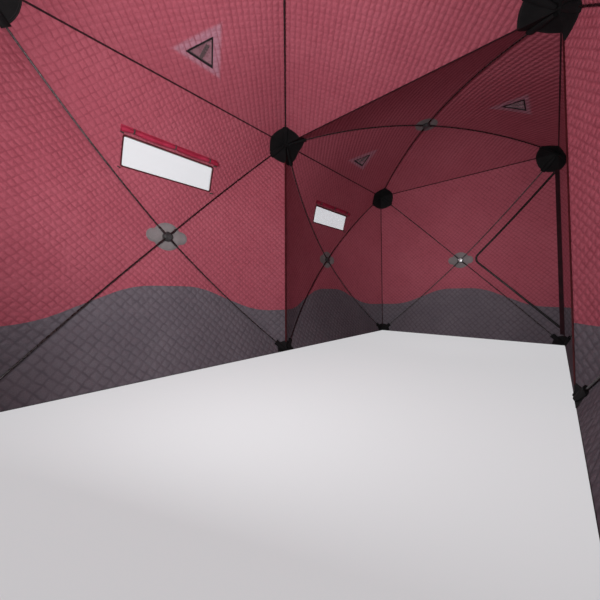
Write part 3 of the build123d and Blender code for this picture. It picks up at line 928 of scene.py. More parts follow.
# %% The sewn cloths
def sewn_finish(name, deep, pale, roughness, thread, rows, stitch=0.004):
    """Woven cloth with rows of stitches at these distances from its edge."""
    finish = Finish(name, pale, roughness)
    place = finish.coordinates("Object")
    cloud = finish.ramp(finish.noise(place, 9.0, 3.0), 0.3, 0.75)
    fleck = finish.ramp(finish.noise(place, 420.0, 1.0), 0.4, 0.6)
    tone = finish.blend(finish.math("MULTIPLY", fleck, 0.5), finish.blend(cloud, deep, pale), deep)
    parts = finish.parts(finish.coordinates("UV"))
    dash = finish.ramp(finish.math("PINGPONG", parts["X"], stitch / 2), stitch * 0.1, stitch * 0.2)
    seam = None
    for row in rows:
        off = finish.math("ABSOLUTE", finish.math("SUBTRACT", parts["Y"], row))
        line = finish.ramp(off, 0.0003, 0.0008, 1.0, 0.0)
        seam = line if seam is None else finish.math("MAXIMUM", seam, line)
    threads = finish.math("MULTIPLY", seam, dash)
    finish.paint(finish.blend(threads, tone, thread))
    finish.shader.inputs["Specular IOR Level"].default_value = 0.12
    grain = finish.math("MULTIPLY", finish.noise(place, 900.0, 1.0), 0.4)
    raised = finish.math("SUBTRACT", grain, finish.math("MULTIPLY", seam, 0.8))
    finish.bump(finish.math("ADD", raised, finish.math("MULTIPLY", threads, 0.9)), 0.0006, 0.8)
    return finish.material


corner_cloth = sewn_finish(
    "black_corner_cloth", (0.005, 0.005, 0.0055), (0.011, 0.0105, 0.011), 0.75,
    thread=(0.03, 0.03, 0.031), rows=(0.004, 0.011))
binding_cloth = sewn_finish(
    "black_binding", (0.008, 0.007, 0.008), (0.022, 0.018, 0.02), 0.7,
    thread=(0.045, 0.04, 0.043), rows=(0.0025,))
zip_tape_cloth = sewn_finish(
    "zip_tape", (0.002, 0.002, 0.002), (0.006, 0.0055, 0.006), 0.7,
    thread=(0.012, 0.012, 0.012), rows=(0.003,))
seam_cloth = sewn_finish(
    "dark_seam_tape", (0.014, 0.004, 0.006), (0.035, 0.008, 0.012), 0.7,
    thread=(0.06, 0.02, 0.026), rows=(0.0025,))
piping_cloth = sewn_finish(
    "maroon_seam_tape", (0.045, 0.006, 0.008), (0.085, 0.010, 0.013), 0.6,
    thread=(0.03, 0.006, 0.008), rows=(0.003,))
patch_cloth = sewn_finish(
    "grey_patch_cloth", (0.15, 0.14, 0.142), (0.235, 0.215, 0.22), 0.72,
    thread=(0.08, 0.078, 0.08), rows=(0.006, 0.012))
flap_cloth = sewn_finish(
    "red_flap_cloth", (0.26, 0.016, 0.04), (0.42, 0.035, 0.08), 0.55,
    thread=(0.16, 0.012, 0.025), rows=(0.006,))
hood_cloth = sewn_finish(
    "hood_cloth", (0.28, 0.12, 0.15), (0.4, 0.19, 0.235), 0.5,
    thread=(0.14, 0.05, 0.065), rows=(0.005, 0.011))
skirt_cloth = sewn_finish(
    "skirt_cloth", (0.018, 0.018, 0.02), (0.05, 0.05, 0.055), 0.6,
    thread=(0.1, 0.1, 0.105), rows=(0.006, 0.026))
print("sewn finishes:", corner_cloth.name, binding_cloth.name, patch_cloth.name)


# %% [markdown]
# ## The black corners
# Where squares meet, heavy black cloth is sewn over both faces, because the pole ends push there. Each
# square carries a quarter of a round, so a fine grid is laid in the square's corner, bowed with it,
# made thick enough to stand 2 mm proud on both faces, and cut round by its pattern. Its hem is a raised
# ring, and the stitches run along it.


# %% One quarter round for each kind of corner
PROUD = 0.002
CAP_CELL = 0.006
CAP_HEM, CAP_HEM_WIDE = 0.0008, 0.016


def quarter_round(name, form, side, low, radius):
    """A square's black corner, in the square's own axes."""
    corner_u, corner_v = side * HALF, 0 if low else form.height
    size = radius + 0.03
    count = math.ceil(size / CAP_CELL)
    middle = (side * (HALF - size / 2), corner_v + (1 if low else -1) * size / 2, 0)
    sheet = flat_grid(name + "_sheet", count, count, size, middle)
    bpy.ops.object.mode_set(mode="EDIT")
    trim((corner_u, corner_v, 0), (form.hub - corner_v, corner_u, 0))
    bpy.ops.object.mode_set(mode="OBJECT")
    for vertex in sheet.data.vertices:
        vertex.co.z = form.bulge(vertex.co.x, vertex.co.y) - PROUD
    thicken(sheet, CLOTH + 2 * PROUD, 1)
    floor_v = HEM + 0.001 if low and form is WALL else 0
    for vertex in sheet.data.vertices:
        u, v, n = vertex.co
        rim = radius - math.hypot(corner_u - u, corner_v - v)
        hem = CAP_HEM * step(0.0, 0.003, rim) * (1 - step(CAP_HEM_WIDE - 0.003, CAP_HEM_WIDE, rim))
        outside = n - form.bulge(u, v) > CLOTH / 2
        vertex.co.z += hem if outside else -hem
        vertex.co.x = min(HALF, max(-HALF, u))
        vertex.co.y = min(form.height, max(floor_v, v))
    piece = cut(sheet, name, [circle(corner_u, corner_v, radius)])
    drop(sheet)

    def round_the_rim(co):
        away_u, away_v = co.x - corner_u, co.y - corner_v
        return math.atan2(away_v, away_u) * radius, radius - math.hypot(away_u, away_v)

    lay_map(piece, round_the_rim)
    return piece


corner_masters = {}
for side in (-1, 1):
    corner_masters[WALL, side, False] = quarter_round(f"wall_eave_{side}", WALL, side, False, EAVE_CAP)
    corner_masters[WALL, side, True] = quarter_round(f"wall_base_{side}", WALL, side, True, BASE_CAP)
    for low in (False, True):
        corner_masters[ROOF, side, low] = quarter_round(f"roof_{side}_{low}", ROOF, side, low, EAVE_CAP)


# %% [markdown]
# Each corner of the hut now collects the quarter rounds that meet there: three at an outer corner of the
# eaves and four in the middle, two at the foot. A collected corner is one sewn piece, as on the real hut.


# %% The corners of the hut
CORNER_SQUARES = {}
for square, (form, matrix) in SQUARES.items():
    for side in (-1, 1):
        for low in (False, True):
            place = matrix @ Vector((side * HALF, 0 if low else form.height, 0))
            key = (round(place.x, 1), round(place.y, 1), round(place.z, 1))
            CORNER_SQUARES.setdefault(key, []).append((square, side, low))


def corner_name(key):
    along = {-MODULE: "near", 0.0: "middle", MODULE: "far"}[key[0]]
    return ("left" if key[1] > 0 else "right") + "_" + along


for key, quarters in CORNER_SQUARES.items():
    high = key[2] > 1
    made = []
    for square, side, low in quarters:
        form, matrix = SQUARES[square]
        part = twin(corner_masters[form, side, low], f"quarter_{square}_{side}")
        part.data.transform(matrix)
        made.append(part)
    name = ("eave_corner_" if high else "base_corner_") + corner_name(key)
    cap = joined(name, made)
    smooth(cap)
    settle(cap, corner_cloth, "root", "corner_cloth", "eave_caps" if high else "base_caps")

drop(*corner_masters.values())


# %% [markdown]
# ## Pole pockets
# The end of each pole is held in a flat black sleeve sewn to the corner, a dark wedge that points from
# the corner to the hub. A cylinder, sliced across so that it can bend, is pressed to an oval and follows
# the pole's own line from the corner to a hemmed mouth.


# %% A tube that follows a rule
def bent_cylinder(name, sides, slices, place):
    """A closed tube whose point at (angle, share of its length, share of its radius) goes to place()."""
    bpy.ops.object.select_all(action="DESELECT")
    bpy.ops.mesh.primitive_cylinder_add(vertices=sides, radius=1, depth=1, end_fill_type="TRIFAN")
    piece = newest(name)
    bpy.ops.object.mode_set(mode="EDIT")
    for number in range(1, slices):
        trim((0, 0, number / slices - 0.5), (0, 0, 1))
    bpy.ops.object.mode_set(mode="OBJECT")
    for vertex in piece.data.vertices:
        x, y, z = vertex.co
        vertex.co = place(math.atan2(y, x), z + 0.5, min(1, math.hypot(x, y)))
    return piece


# %% One pocket
POLE_STANDOFF = 0.014  # from the cloth to the pole's middle
SLEEVE_START, SLEEVE_END, SLEEVE_END_LOW = 0.04, 0.215, 0.15
SLEEVE_WIDE, SLEEVE_HIGH = 0.026, 0.0115
SLEEVE_HEM, SLEEVE_CREASE = 0.0012, 0.0008


def pole_spot(form, side, low, along):
    """A point on a pole's middle line in the square's axes, this far from the corner."""
    corner_v = 0 if low else form.height
    reach_u, reach_v = -side * HALF, form.hub - corner_v
    share = along / math.hypot(reach_u, reach_v)
    n = form.bow * (2 * share - share * share) - POLE_STANDOFF
    return Vector((side * HALF + reach_u * share, corner_v + reach_v * share, n))


def sleeve(square, side, low):
    """The sleeve that holds one pole's end."""
    form, matrix = SQUARES[square]
    end = SLEEVE_END_LOW if low and form is WALL else SLEEVE_END
    along_pole = pole_spot(form, side, low, end) - pole_spot(form, side, low, SLEEVE_START)
    across = Vector((0, 0, 1)).cross(along_pole).normalized()
    out = along_pole.cross(across).normalized()

    def place(angle, share, radius):
        along = SLEEVE_START + share * (end - SLEEVE_START)
        wide = SLEEVE_WIDE * (0.55 + 0.45 * step(0.0, 0.5, share))
        hem = SLEEVE_HEM * step(0.86, 0.9, share)
        crease = SLEEVE_CREASE * math.sin(5 * angle + 9 * share) * step(0, 0.2, share)
        high = SLEEVE_HIGH + hem + crease
        offset = across * (wide + hem) * radius * math.cos(angle) + out * high * radius * math.sin(angle)
        return matrix @ (pole_spot(form, side, low, along) + offset)

    return bent_cylinder(f"sleeve_{square}_{side}", 20, 12, place)


# %% The pockets of every corner
for key, quarters in CORNER_SQUARES.items():
    made = [sleeve(*quarter) for quarter in quarters]
    level = "eave" if key[2] > 1 else "base"
    pockets = joined(f"{level}_pockets_{corner_name(key)}", made)
    face_outwards(pockets)
    smooth(pockets, 50)
    settle(pockets, corner_cloth, "root", "corner_cloth")


# %% [markdown]
# ## Seam tapes
# Squares are joined edge to edge, and a folded tape covers each seam, inside and out. The upright seam
# between the two cubes has a wide maroon tape, whose dark maroon is partly painted shade of the fold
# there, and the others thin dark ones. A strip folded along its middle does this: each half lies on its
# own square, a little proud of the cloth.


# %% Where the seams run
# Two squares and their edges, and how a place along the first one's edge counts on the second one's.
SEAMS = {
    "middle_left": ("left_near", "left", "left_far", "right", 1, 0),
    "middle_right": ("right_near", "right", "right_far", "left", 1, 0),
    "corner_left_near": ("left_near", "right", "end_near", "left", 1, 0),
    "corner_left_far": ("left_far", "left", "end_far", "right", 1, 0),
    "corner_right_near": ("right_near", "left", "end_near", "right", 1, 0),
    "corner_right_far": ("right_far", "right", "end_far", "left", 1, 0),
    "eave_left_near": ("left_near", "top", "roof_near", "top", -1, 0),
    "eave_left_far": ("left_far", "top", "roof_far", "top", -1, 0),
    "eave_right_near": ("right_near", "top", "roof_near", "bottom", 1, 0),
    "eave_right_far": ("right_far", "top", "roof_far", "bottom", 1, 0),
    "eave_end_near": ("end_near", "top", "roof_near", "left", -1, HALF),
    "eave_end_far": ("end_far", "top", "roof_far", "right", 1, HALF),
    "middle_roof": ("roof_near", "right", "roof_far", "left", 1, 0),
}
print(len(SEAMS), "seams")


# %% One folded tape
TAPE_THICK = 0.0016
TAPE_LIFT = 0.0026
WIDE_TAPE, NARROW_TAPE = 0.024, 0.014
TAPE_CELL = 0.012


def edge_spot(square, edge, along, depth, lift):
    """A point on a square, this far in from one of its edges."""
    height = SQUARES[square][0].height
    u, v = {
        "left": (-HALF + depth, along), "right": (HALF - depth, along),
        "top": (along, height - depth), "bottom": (along, depth),
    }[edge]
    return spot(square, u, v, lift)


def seam_tape(name, seam, width, lift, start, end):
    """A tape along a seam, with its stitches drawing it in slightly."""
    square_a, edge_a, square_b, edge_b, sign, shift = SEAMS[seam]

    def place(across, along):
        s = start + along
        depth = abs(across)
        pucker = 0.0003 * math.sin(s * 900) * step(0.2, 0.8, depth / width * 2)
        on_a = edge_spot(square_a, edge_a, s, depth if across < 0 else 0, lift + pucker)
        on_b = edge_spot(square_b, edge_b, sign * s + shift, depth if across > 0 else 0, lift + pucker)
        return on_a.lerp(on_b, step(-0.002, 0.002, across))

    return strip(name, place, width, end - start, 8, int((end - start) / TAPE_CELL), TAPE_THICK)


def tape_ends(seam, wide):
    """Where a tape starts and ends, tucked under the black corners."""
    if wide or seam.startswith("corner"):
        return BASE_CAP - TUCK, EAVE - EAVE_CAP + TUCK
    if seam == "middle_roof":
        return EAVE_CAP - TUCK, MODULE - EAVE_CAP + TUCK
    return -HALF + EAVE_CAP - TUCK, HALF - EAVE_CAP + TUCK


# %% Taping every seam
for seam, (square, *_) in SEAMS.items():
    # Painted shade: the middle seams' wide tapes are dark maroon partly as the shade of the fold between the
    # cubes.
    wide = seam in ("middle_left", "middle_right")
    width = WIDE_TAPE if wide else NARROW_TAPE
    start, end = tape_ends(seam, wide)
    for layer, lift in (("inner", -TAPE_LIFT), ("outer", CLOTH + TAPE_LIFT)):
        tape = seam_tape(f"tape_{layer}_{seam}", seam, width, lift, start, end)
        settle(tape, piping_cloth if wide else seam_cloth, "root", "binding")
        # An outer tape bridges the wedge between two walls, so its cut is wider than what shows.
        cut_width = area_of(tape) / (end - start) / (1 + TAPE_THICK / width)


# %% [markdown]
# ## Poles and hubs
# The sprung poles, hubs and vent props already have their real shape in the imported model, so they keep
# it and only get a finish. Each hub also has a round button in its middle, with a domed face and a fine
# groove. The buttons are pale on the end walls and dark elsewhere.


# %% Finishes for the rigid pieces
for node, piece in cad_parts.items():
    if node.startswith("poles_"):
        wear(piece, pole_finish)
for node in ("wall_hubs", "roof_hubs"):
    wear(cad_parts[node], hub_finish)
wear(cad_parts["vent_struts"], strut_finish)
print("finished the poles, the hubs and the vents' props")


# %% [markdown]
# The button's face is turned from the cylinder's top: each inset draws a smaller ring inside the last one
# and lifts it or presses it in, and a fine bevel takes the sharpness off the edges.


# %% The button
BUTTON_RADIUS, BUTTON_HEIGHT = 0.03, 0.005
BUTTON_STANDOFF = 0.011  # from the poles' middle to the button's back
BUTTON_RINGS = [  # how far in each ring is set, and how far it is lifted
    (0.004, 0.0012), (0.003, 0.0), (0.0012, -0.0014), (0.0012, 0.0014), (0.006, 0.0006), (0.006, 0.0002)]


def edit_top(piece, height):
    """Goes into edit mode with only the faces selected that face up at this height."""
    select_only(piece)
    bpy.ops.object.mode_set(mode="EDIT")
    bpy.ops.mesh.select_all(action="DESELECT")
    bpy.ops.object.mode_set(mode="OBJECT")
    for polygon in piece.data.polygons:
        polygon.select = polygon.normal.z > 0.9 and abs(polygon.center.z - height) < 1e-4
    bpy.ops.object.mode_set(mode="EDIT")


def hub_button():
    """The button in its own axes: its back at 0 and its face along z."""
    bpy.ops.object.select_all(action="DESELECT")
    bpy.ops.mesh.primitive_cylinder_add(
        vertices=40, radius=BUTTON_RADIUS, depth=BUTTON_HEIGHT, location=(0, 0, BUTTON_HEIGHT / 2))
    button = newest("hub_button")
    bake_place(button)
    edit_top(button, BUTTON_HEIGHT)
    for inwards, lift in BUTTON_RINGS:
        bpy.ops.mesh.inset(thickness=inwards, depth=lift)
    bpy.ops.object.mode_set(mode="OBJECT")
    bevelled(button, 0.0004, 2)
    smooth(button)
    return button


# %% A button on every hub
button = hub_button()
for square, (form, matrix) in SQUARES.items():
    # The button's face looks into the hut, against the square's own outward axis.
    level = form.bow - POLE_STANDOFF - BUTTON_STANDOFF
    face_in = Matrix.Translation((0, form.hub, level)) @ Matrix.Rotation(math.pi, 4, "X")
    piece = twin(button, "button_" + square)
    piece.data.transform(matrix @ face_in)
    settle(piece, steel_finish if square in ENDS else hub_finish, "root", "hub")
drop(button)


# %% [markdown]
# ## Hub patches
# A soft grey patch is sewn to the cloth behind each hub, so that the hub doesn't wear through it. On the
# walls it has two wings. A fine grid is bowed with the square and cut by the patch's pattern; its hem is
# a raised ring with two rows of stitches.


# %% The outline of a patch
PATCH_RADIUS, PATCH_WING, PATCH_WING_HEIGHT = 0.115, 0.165, 0.11


def patch_edge(u, v, winged):
    """How far inside the patch's outline a point is. The hub is at 0, 0."""
    in_round = PATCH_RADIUS - math.hypot(u, v)
    if not winged:
        return in_round
    end = PATCH_WING - PATCH_WING_HEIGHT / 2
    in_wings = PATCH_WING_HEIGHT / 2 - math.hypot(max(0, abs(u) - end), v)
    return max(in_round, in_wings)


def patch_outline(winged):
    """The patch's outline with the hub at 0, 0: a round, or a round with a wing on each side."""
    if not winged:
        return circle(0, 0, PATCH_RADIUS)
    half = PATCH_WING_HEIGHT / 2
    start = math.asin(half / PATCH_RADIUS)
    wing_turns = [math.radians(-90 + 15 * number) for number in range(13)]
    top_turns = [start + (math.pi - 2 * start) * number / 16 for number in range(17)]
    right = [(PATCH_WING - half + half * math.cos(a), half * math.sin(a)) for a in wing_turns]
    top = [(PATCH_RADIUS * math.cos(a), PATCH_RADIUS * math.sin(a)) for a in top_turns]
    left = [(-u, -v) for u, v in right]
    bottom = [(-u, -v) for u, v in top]
    return right + top + left + bottom


# %% The patches
PATCH_THICK, PATCH_SEAT = 0.002, 0.0012
PATCH_CELL = 0.005
PATCH_HEM, PATCH_HEM_WIDE = 0.0006, 0.017


def hub_patch(name, form, winged):
    """A patch, bowed with its square and with a raised hem."""
    size = 2 * PATCH_WING + 0.02
    count = math.ceil(size / PATCH_CELL)
    sheet = flat_grid(name + "_sheet", count, count, size, (0, form.hub, 0))
    for vertex in sheet.data.vertices:
        vertex.co.z = form.bulge(vertex.co.x, vertex.co.y) - PATCH_SEAT
    thicken(sheet, PATCH_THICK, -1)
    for vertex in sheet.data.vertices:
        u, v, n = vertex.co
        edge = patch_edge(u, v - form.hub, winged)
        if n < form.bulge(u, v) - PATCH_SEAT - PATCH_THICK / 2:
            inside_hem = 1 - step(PATCH_HEM_WIDE - 0.003, PATCH_HEM_WIDE, edge)
            vertex.co.z -= PATCH_HEM * step(0, 0.002, edge) * inside_hem
    piece = cut(sheet, name, [[(u, v + form.hub) for u, v in patch_outline(winged)]])
    drop(sheet)

    def round_the_hub(co):
        u, v = co.x, co.y - form.hub
        return math.atan2(v, u) * PATCH_RADIUS, patch_edge(u, v, winged)

    lay_map(piece, round_the_hub)
    return piece


patch_masters = {WALL: hub_patch("wall_patch", WALL, True), ROOF: hub_patch("roof_patch", ROOF, False)}
for square, (form, matrix) in SQUARES.items():
    piece = twin(patch_masters[form], "patch_" + square)
    piece.data.transform(matrix)
    smooth(piece)
    settle(piece, patch_cloth, "root", "patch_cloth", "hub_patches")
    wide = 2 * (PATCH_WING if form is WALL else PATCH_RADIUS)
drop(*patch_masters.values())


# %% [markdown]
# ## Windows
# Each long square has one window above its hub: a clear soft film, sewn behind the opening and edged with a
# dark strip of hook tape, with small dark toggles at its corners. Over it hangs its blind, rolled up and
# tied. The film is a very slightly wavy sheet, so that it catches the light unevenly, as real film does.


# %% The film and its edging
PANE_OVERLAP, PANE_THICK = 0.015, 0.0012
PANE_LIFT = CLOTH + 0.0021
FILM_SIZE = (WINDOW_H + 2 * PANE_OVERLAP, WINDOW_W + 2 * PANE_OVERLAP)
WINDOW_MIDDLE = WINDOW_SILL + WINDOW_H / 2
EDGING_THICK = 0.0018
EDGING_INWARDS = 0.003  # it reaches this far into the opening
EDGINGS = [("inner", -0.003, 0.007), ("outer", CLOTH + 0.0042, PANE_OVERLAP + 0.004)]


def window_film(square):
    """The clear sheet behind the opening, with faint ripples that fade out at its edge."""
    def place(across, along):
        u, v = along - FILM_SIZE[1] / 2, WINDOW_MIDDLE + across
        ripple = 0.0012 * noise.noise(Vector((u * 5, v * 9, SEEDS[square])))
        ripple += 0.0008 * math.sin(u * 21 + SEEDS[square])
        inside = step(0.0, 0.04, min(WINDOW_W / 2 - abs(u), WINDOW_H / 2 - abs(across)))
        return spot(square, u, v, PANE_LIFT + inside * ripple)

    return strip("film_" + square, place, *FILM_SIZE, 24, 72, PANE_THICK)


def window_edging(square, layer, lift, reach):
    """A frame of tape round the window, cut from a fine bowed sheet. It reaches this far over the cloth."""
    form, matrix = SQUARES[square]
    sheet = flat_grid("edging_sheet", 110, 40, middle=(0, WINDOW_MIDDLE, 0),
                      scale=(WINDOW_W + 0.06, WINDOW_H + 0.06, 1))
    for vertex in sheet.data.vertices:
        vertex.co.z = form.bulge(vertex.co.x, vertex.co.y) + lift
    thicken(sheet, EDGING_THICK, 0)
    outlines = [window_outline(reach), window_outline(-EDGING_INWARDS)]
    piece = cut(sheet, f"edging_{layer}_{square}", outlines)
    drop(sheet)

    def round_the_window(co):
        from_opening = max(abs(co.x) - WINDOW_W / 2, abs(co.y - WINDOW_MIDDLE) - WINDOW_H / 2)
        return co.x + co.y, from_opening + EDGING_INWARDS

    lay_map(piece, round_the_window)
    piece.data.transform(matrix)
    smooth(piece)
    return piece


for square in SIDES:
    film = window_film(square)
    settle(film, clear_film, "root", "pane", "window_panes")
    for layer, lift, reach in EDGINGS:
        settle(window_edging(square, layer, lift, reach), piping_cloth, "root", "binding")


# %% [markdown]
# ## The rolled blinds
# The blind is one layer of bright red cloth, sewn along its top edge above the window. Rolled up, it is a
# loose spiral that its ties pinch in three places, and between them it sags a little over the glass. A
# grid does it: across the sheet a point first runs down the wall and then winds round the roll.


# %% The form of the roll
ROLL_LENGTH, ROLL_RADIUS, ROLL_LIFT = 0.76, 0.02, 0.036
ROLL_TURNS, ROLL_WOUND, ROLL_TAIL = 2.15, 0.2, 0.03  # the turns, the cloth in them and the cloth above
TIES = (-0.3, 0.0, 0.3)
TIE_REACH, TIE_PINCH = 0.03, 0.22
LEAN = math.radians(22)  # how far the wall leans where the roll hangs


def roll_pinch(u):
    """How tightly the roll is tied at a point: 1 at a tie, 0 between."""
    return max(math.exp(-((u - tie) / TIE_REACH) ** 2) for tie in TIES)


def roll_sag(u):
    """The roll hangs a little lower between its ties and at its ends."""
    last = TIES[-1]
    swag = abs(math.sin(math.pi * u / last)) if abs(u) < last else (abs(u) - last) / (ROLL_LENGTH / 2 - last)
    return 0.007 * min(1, swag)


def roll_frame(square, u):
    """The roll's middle, its axes up and into the room, and its radius, at a distance along it."""
    _, matrix = SQUARES[square]
    v = WINDOW_SILL + WINDOW_H + ROLL_LIFT - roll_sag(u)
    fat = ROLL_RADIUS * (1 - TIE_PINCH * roll_pinch(u))
    middle = spot(square, u, v, -(fat + 0.0035) / math.cos(LEAN))
    upward = (spot(square, u, v + 0.01) - spot(square, u, v - 0.01)).normalized()
    inward = upward.cross(matrix.to_3x3() @ Vector((1, 0, 0))).normalized()
    if inward.dot(matrix.to_3x3() @ Vector((0, 0, 1))) > 0:
        inward = -inward
    return middle, upward, inward, fat


# %% The blinds
BLIND_THICK = 0.0012


def blind(square):
    """The sheet: its tail hangs from the seam above the window and the rest is wound into the roll."""
    cut_length = ROLL_TAIL + ROLL_WOUND

    def place(across, along):
        u = along - ROLL_LENGTH / 2
        middle, upward, inward, fat = roll_frame(square, u)
        wound = across + cut_length / 2 - ROLL_TAIL
        if wound < 0:
            top = WINDOW_SILL + WINDOW_H + ROLL_LIFT + 0.002 - wound * 0.9
            on_wall = spot(square, u, top, -0.0028)
            return on_wall.lerp(middle - inward * fat * 0.97, step(0.5, 1, 1 + wound / ROLL_TAIL))
        share = wound / ROLL_WOUND
        angle = share * ROLL_TURNS * 2 * math.pi
        seed = SEEDS[square] + math.sin(angle) * 2
        crease = 1 + 0.05 * noise.noise(Vector((u * 14, math.cos(angle) * 2, seed)))
        radius = fat * (1 - 0.62 * share) * crease
        return middle - inward * radius * math.cos(angle) - upward * radius * math.sin(angle)

    return strip("blind_" + square, place, cut_length, ROLL_LENGTH, 64, 96, BLIND_THICK)


for square in SIDES:
    piece = blind(square)
    settle(piece, flap_cloth, "root", "flap_cloth", "window_flaps")


# %% [markdown]
# ## Ties and toggles
# Elastic loops go round the rolled blind, and a short moulded toggle sits on each. Four more toggles beside
# the window's corners hold the blind when it is let down. A toggle is a small cylinder with round ends and
# a waist, modelled once and copied.


# %% One toggle and one band
TOGGLE_LENGTH, TOGGLE_RADIUS = 0.03, 0.0048
TOGGLE_ROUND = 0.004
BAND_WIDE, BAND_THICK, BAND_LIFT = 0.008, 0.0012, 0.0018


def toggle_master():
    """A small cylinder with round ends and a waist, along z."""
    def place(angle, share, radius):
        waist = 1 - 0.3 * math.exp(-((share - 0.5) / 0.12) ** 2)
        end = min(share, 1 - share) * TOGGLE_LENGTH
        round_end = math.sqrt(1 - (1 - min(1, end / TOGGLE_ROUND)) ** 2)
        r = TOGGLE_RADIUS * waist * (0.35 + 0.65 * round_end) * radius
        return Vector((r * math.cos(angle), r * math.sin(angle), (share - 0.5) * TOGGLE_LENGTH))

    piece = bent_cylinder("toggle_master", 14, 14, place)
    smooth(piece, 40)
    return piece


def loop_band(name, square, u):
    """An elastic band round the rolled blind."""
    middle, upward, inward, fat = roll_frame(square, u)
    across_axis = upward.cross(inward)
    radius = fat + BAND_LIFT

    def place(across, along):
        angle = along / radius
        ring = -inward * math.cos(angle) - upward * math.sin(angle)
        return middle + ring * radius + across_axis * across

    return strip(name, place, BAND_WIDE, 2 * math.pi * radius, 3, 36, BAND_THICK)


# %% The ties of every window
ON_BAND = 0.006  # from the roll to a toggle's middle
CORNER_TOGGLES = [("low", WINDOW_SILL - 0.016), ("high", WINDOW_SILL + WINDOW_H + 0.012)]
CORNER_TOGGLE_OUT, CORNER_TOGGLE_LIFT = 0.014, 0.0085


def band_toggle(square, u):
    """Where the toggle on a band goes, upright against the roll."""
    _, matrix = SQUARES[square]
    middle, upward, inward, fat = roll_frame(square, u)
    side_axis = matrix.to_3x3() @ Vector((1, 0, 0))
    return axes(middle + inward * (fat + ON_BAND), side_axis, inward, upward)


def corner_toggle(square, side, v):
    """Where a toggle beside the window's corner goes, slanting."""
    form, matrix = SQUARES[square]
    u = side * (WINDOW_W / 2 + CORNER_TOGGLE_OUT)
    place = Matrix.Translation((u, v, form.bulge(u, v) - CORNER_TOGGLE_LIFT))
    return matrix @ place @ Matrix.Rotation(math.radians(90 + side * 35), 4, "Y")


toggle = toggle_master()
for square in SIDES:
    made = []
    for number, u in enumerate(TIES):
        made.append(loop_band(f"band_{number}", square, u))
        copy = twin(toggle, f"toggle_{number}")
        copy.data.transform(band_toggle(square, u))
        made.append(copy)
    for number, side in enumerate((-1, 1)):
        for level, v in CORNER_TOGGLES:
            copy = twin(toggle, f"toggle_{level}_{number}")
            copy.data.transform(corner_toggle(square, side, v))
            made.append(copy)
    piece = joined("ties_" + square, made)
    face_outwards(piece)
    settle(piece, strut_finish, "root", "strut")
drop(toggle)


# %% [markdown]
# ## Roof vents
# Each roof has two vents. Fine netting fills a triangle, a narrow dark piping edges it, and outside a cloth
# hood keeps the weather off, held open by the flat prop. The netting is real: a flat grid is trimmed to the
# triangle and turned to threads by the Wireframe modifier.


# %% The netting and its piping
NET_CELL, NET_THREAD, NET_LIFT = 0.004, 0.0012, 0.0012
PIPING = 0.010
VENT_SHEET, VENT_SHEET_MIDDLE = 0.3, VENT_FROM_EAVE + 0.07


def vent_sheet(name, lift, flip):
    """A small flat grid at a vent, bowed with the roof."""
    v = MODULE - VENT_SHEET_MIDDLE if flip else VENT_SHEET_MIDDLE
    count = math.ceil(VENT_SHEET / NET_CELL)
    sheet = flat_grid(name, count, count, count * NET_CELL, (0, v, 0))
    for vertex in sheet.data.vertices:
        vertex.co.z = ROOF.bulge(vertex.co.x, vertex.co.y) + lift
    return sheet


def netting(name, flip):
    """Threads: one wire for each edge of a grid inside the vent's outline."""
    sheet = vent_sheet(name, NET_LIFT, flip)
    low, high = VENT_FROM_EAVE - 0.002, VENT_FROM_EAVE + VENT_TALL + 0.004
    if flip:
        low, high = MODULE - low, MODULE - high
    onward = -1 if flip else 1
    slope = math.tan(math.radians(30))
    select_only(sheet)
    bpy.ops.object.mode_set(mode="EDIT")
    trim((0, low, 0), (0, -onward, 0), outer=True)
    for side in (-1, 1):
        trim((0, high, 0), (side, onward * slope, 0), outer=True)
    bpy.ops.object.mode_set(mode="OBJECT")
    wires = sheet.modifiers.new("threads", "WIREFRAME")
    wires.thickness = NET_THREAD
    wires.use_even_offset = False
    wires.use_boundary = True
    apply_modifiers(sheet)
    return sheet


def piping(name, flip):
    """The round edge of the vent, which stands proud of both faces of the cloth."""
    sheet = vent_sheet(name + "_sheet", CLOTH / 2, flip)
    thicken(sheet, CLOTH + 0.006, 0)
    ring = cut(sheet, name, [vent_outline(flip, PIPING / 2), vent_outline(flip, -PIPING / 2)])
    drop(sheet)
    lay_map(ring, lambda co: (co.x + co.y, 0.004))
    bevelled(ring, 0.0018, 3, 50)
    return ring


# %% The four vents
net_finish = moulded_finish("vent_netting", (0.34, 0.2, 0.235), (0.5, 0.32, 0.37), 0.6)
# The real threads are finer than these, so part of the light goes through them.
net_finish.node_tree.nodes["Principled BSDF"].inputs["Alpha"].default_value = 0.5
for flip in (False, True):
    net_master, ring_master = netting(f"net_{flip}", flip), piping(f"piping_{flip}", flip)
    for square in ROOFS:
        side = "left" if flip else "right"
        _, matrix = SQUARES[square]
        net = twin(net_master, f"netting_{square}_{side}")
        net.data.transform(matrix)
        settle(net, net_finish, "root", "mesh", "vent_meshes")
        ring = twin(ring_master, f"piping_{square}_{side}")
        ring.data.transform(matrix)
        smooth(ring)
        settle(ring, binding_cloth, "root", "binding", "vent_bindings")
    drop(net_master, ring_master)


# %% [markdown]
# The hood is one piece of cloth, sewn down along its two upper sides and open towards the eave. It is
# highest in the middle of its mouth, where the prop holds it, so its surface is ruled from that arched
# mouth to its top, and it sags a little on each side of the prop.


# %% The form of a hood
HOOD_LIFT, HOOD_SAG, HOOD_THICK = 0.041, 0.006, 0.002
HEM_RADIUS = 0.0035


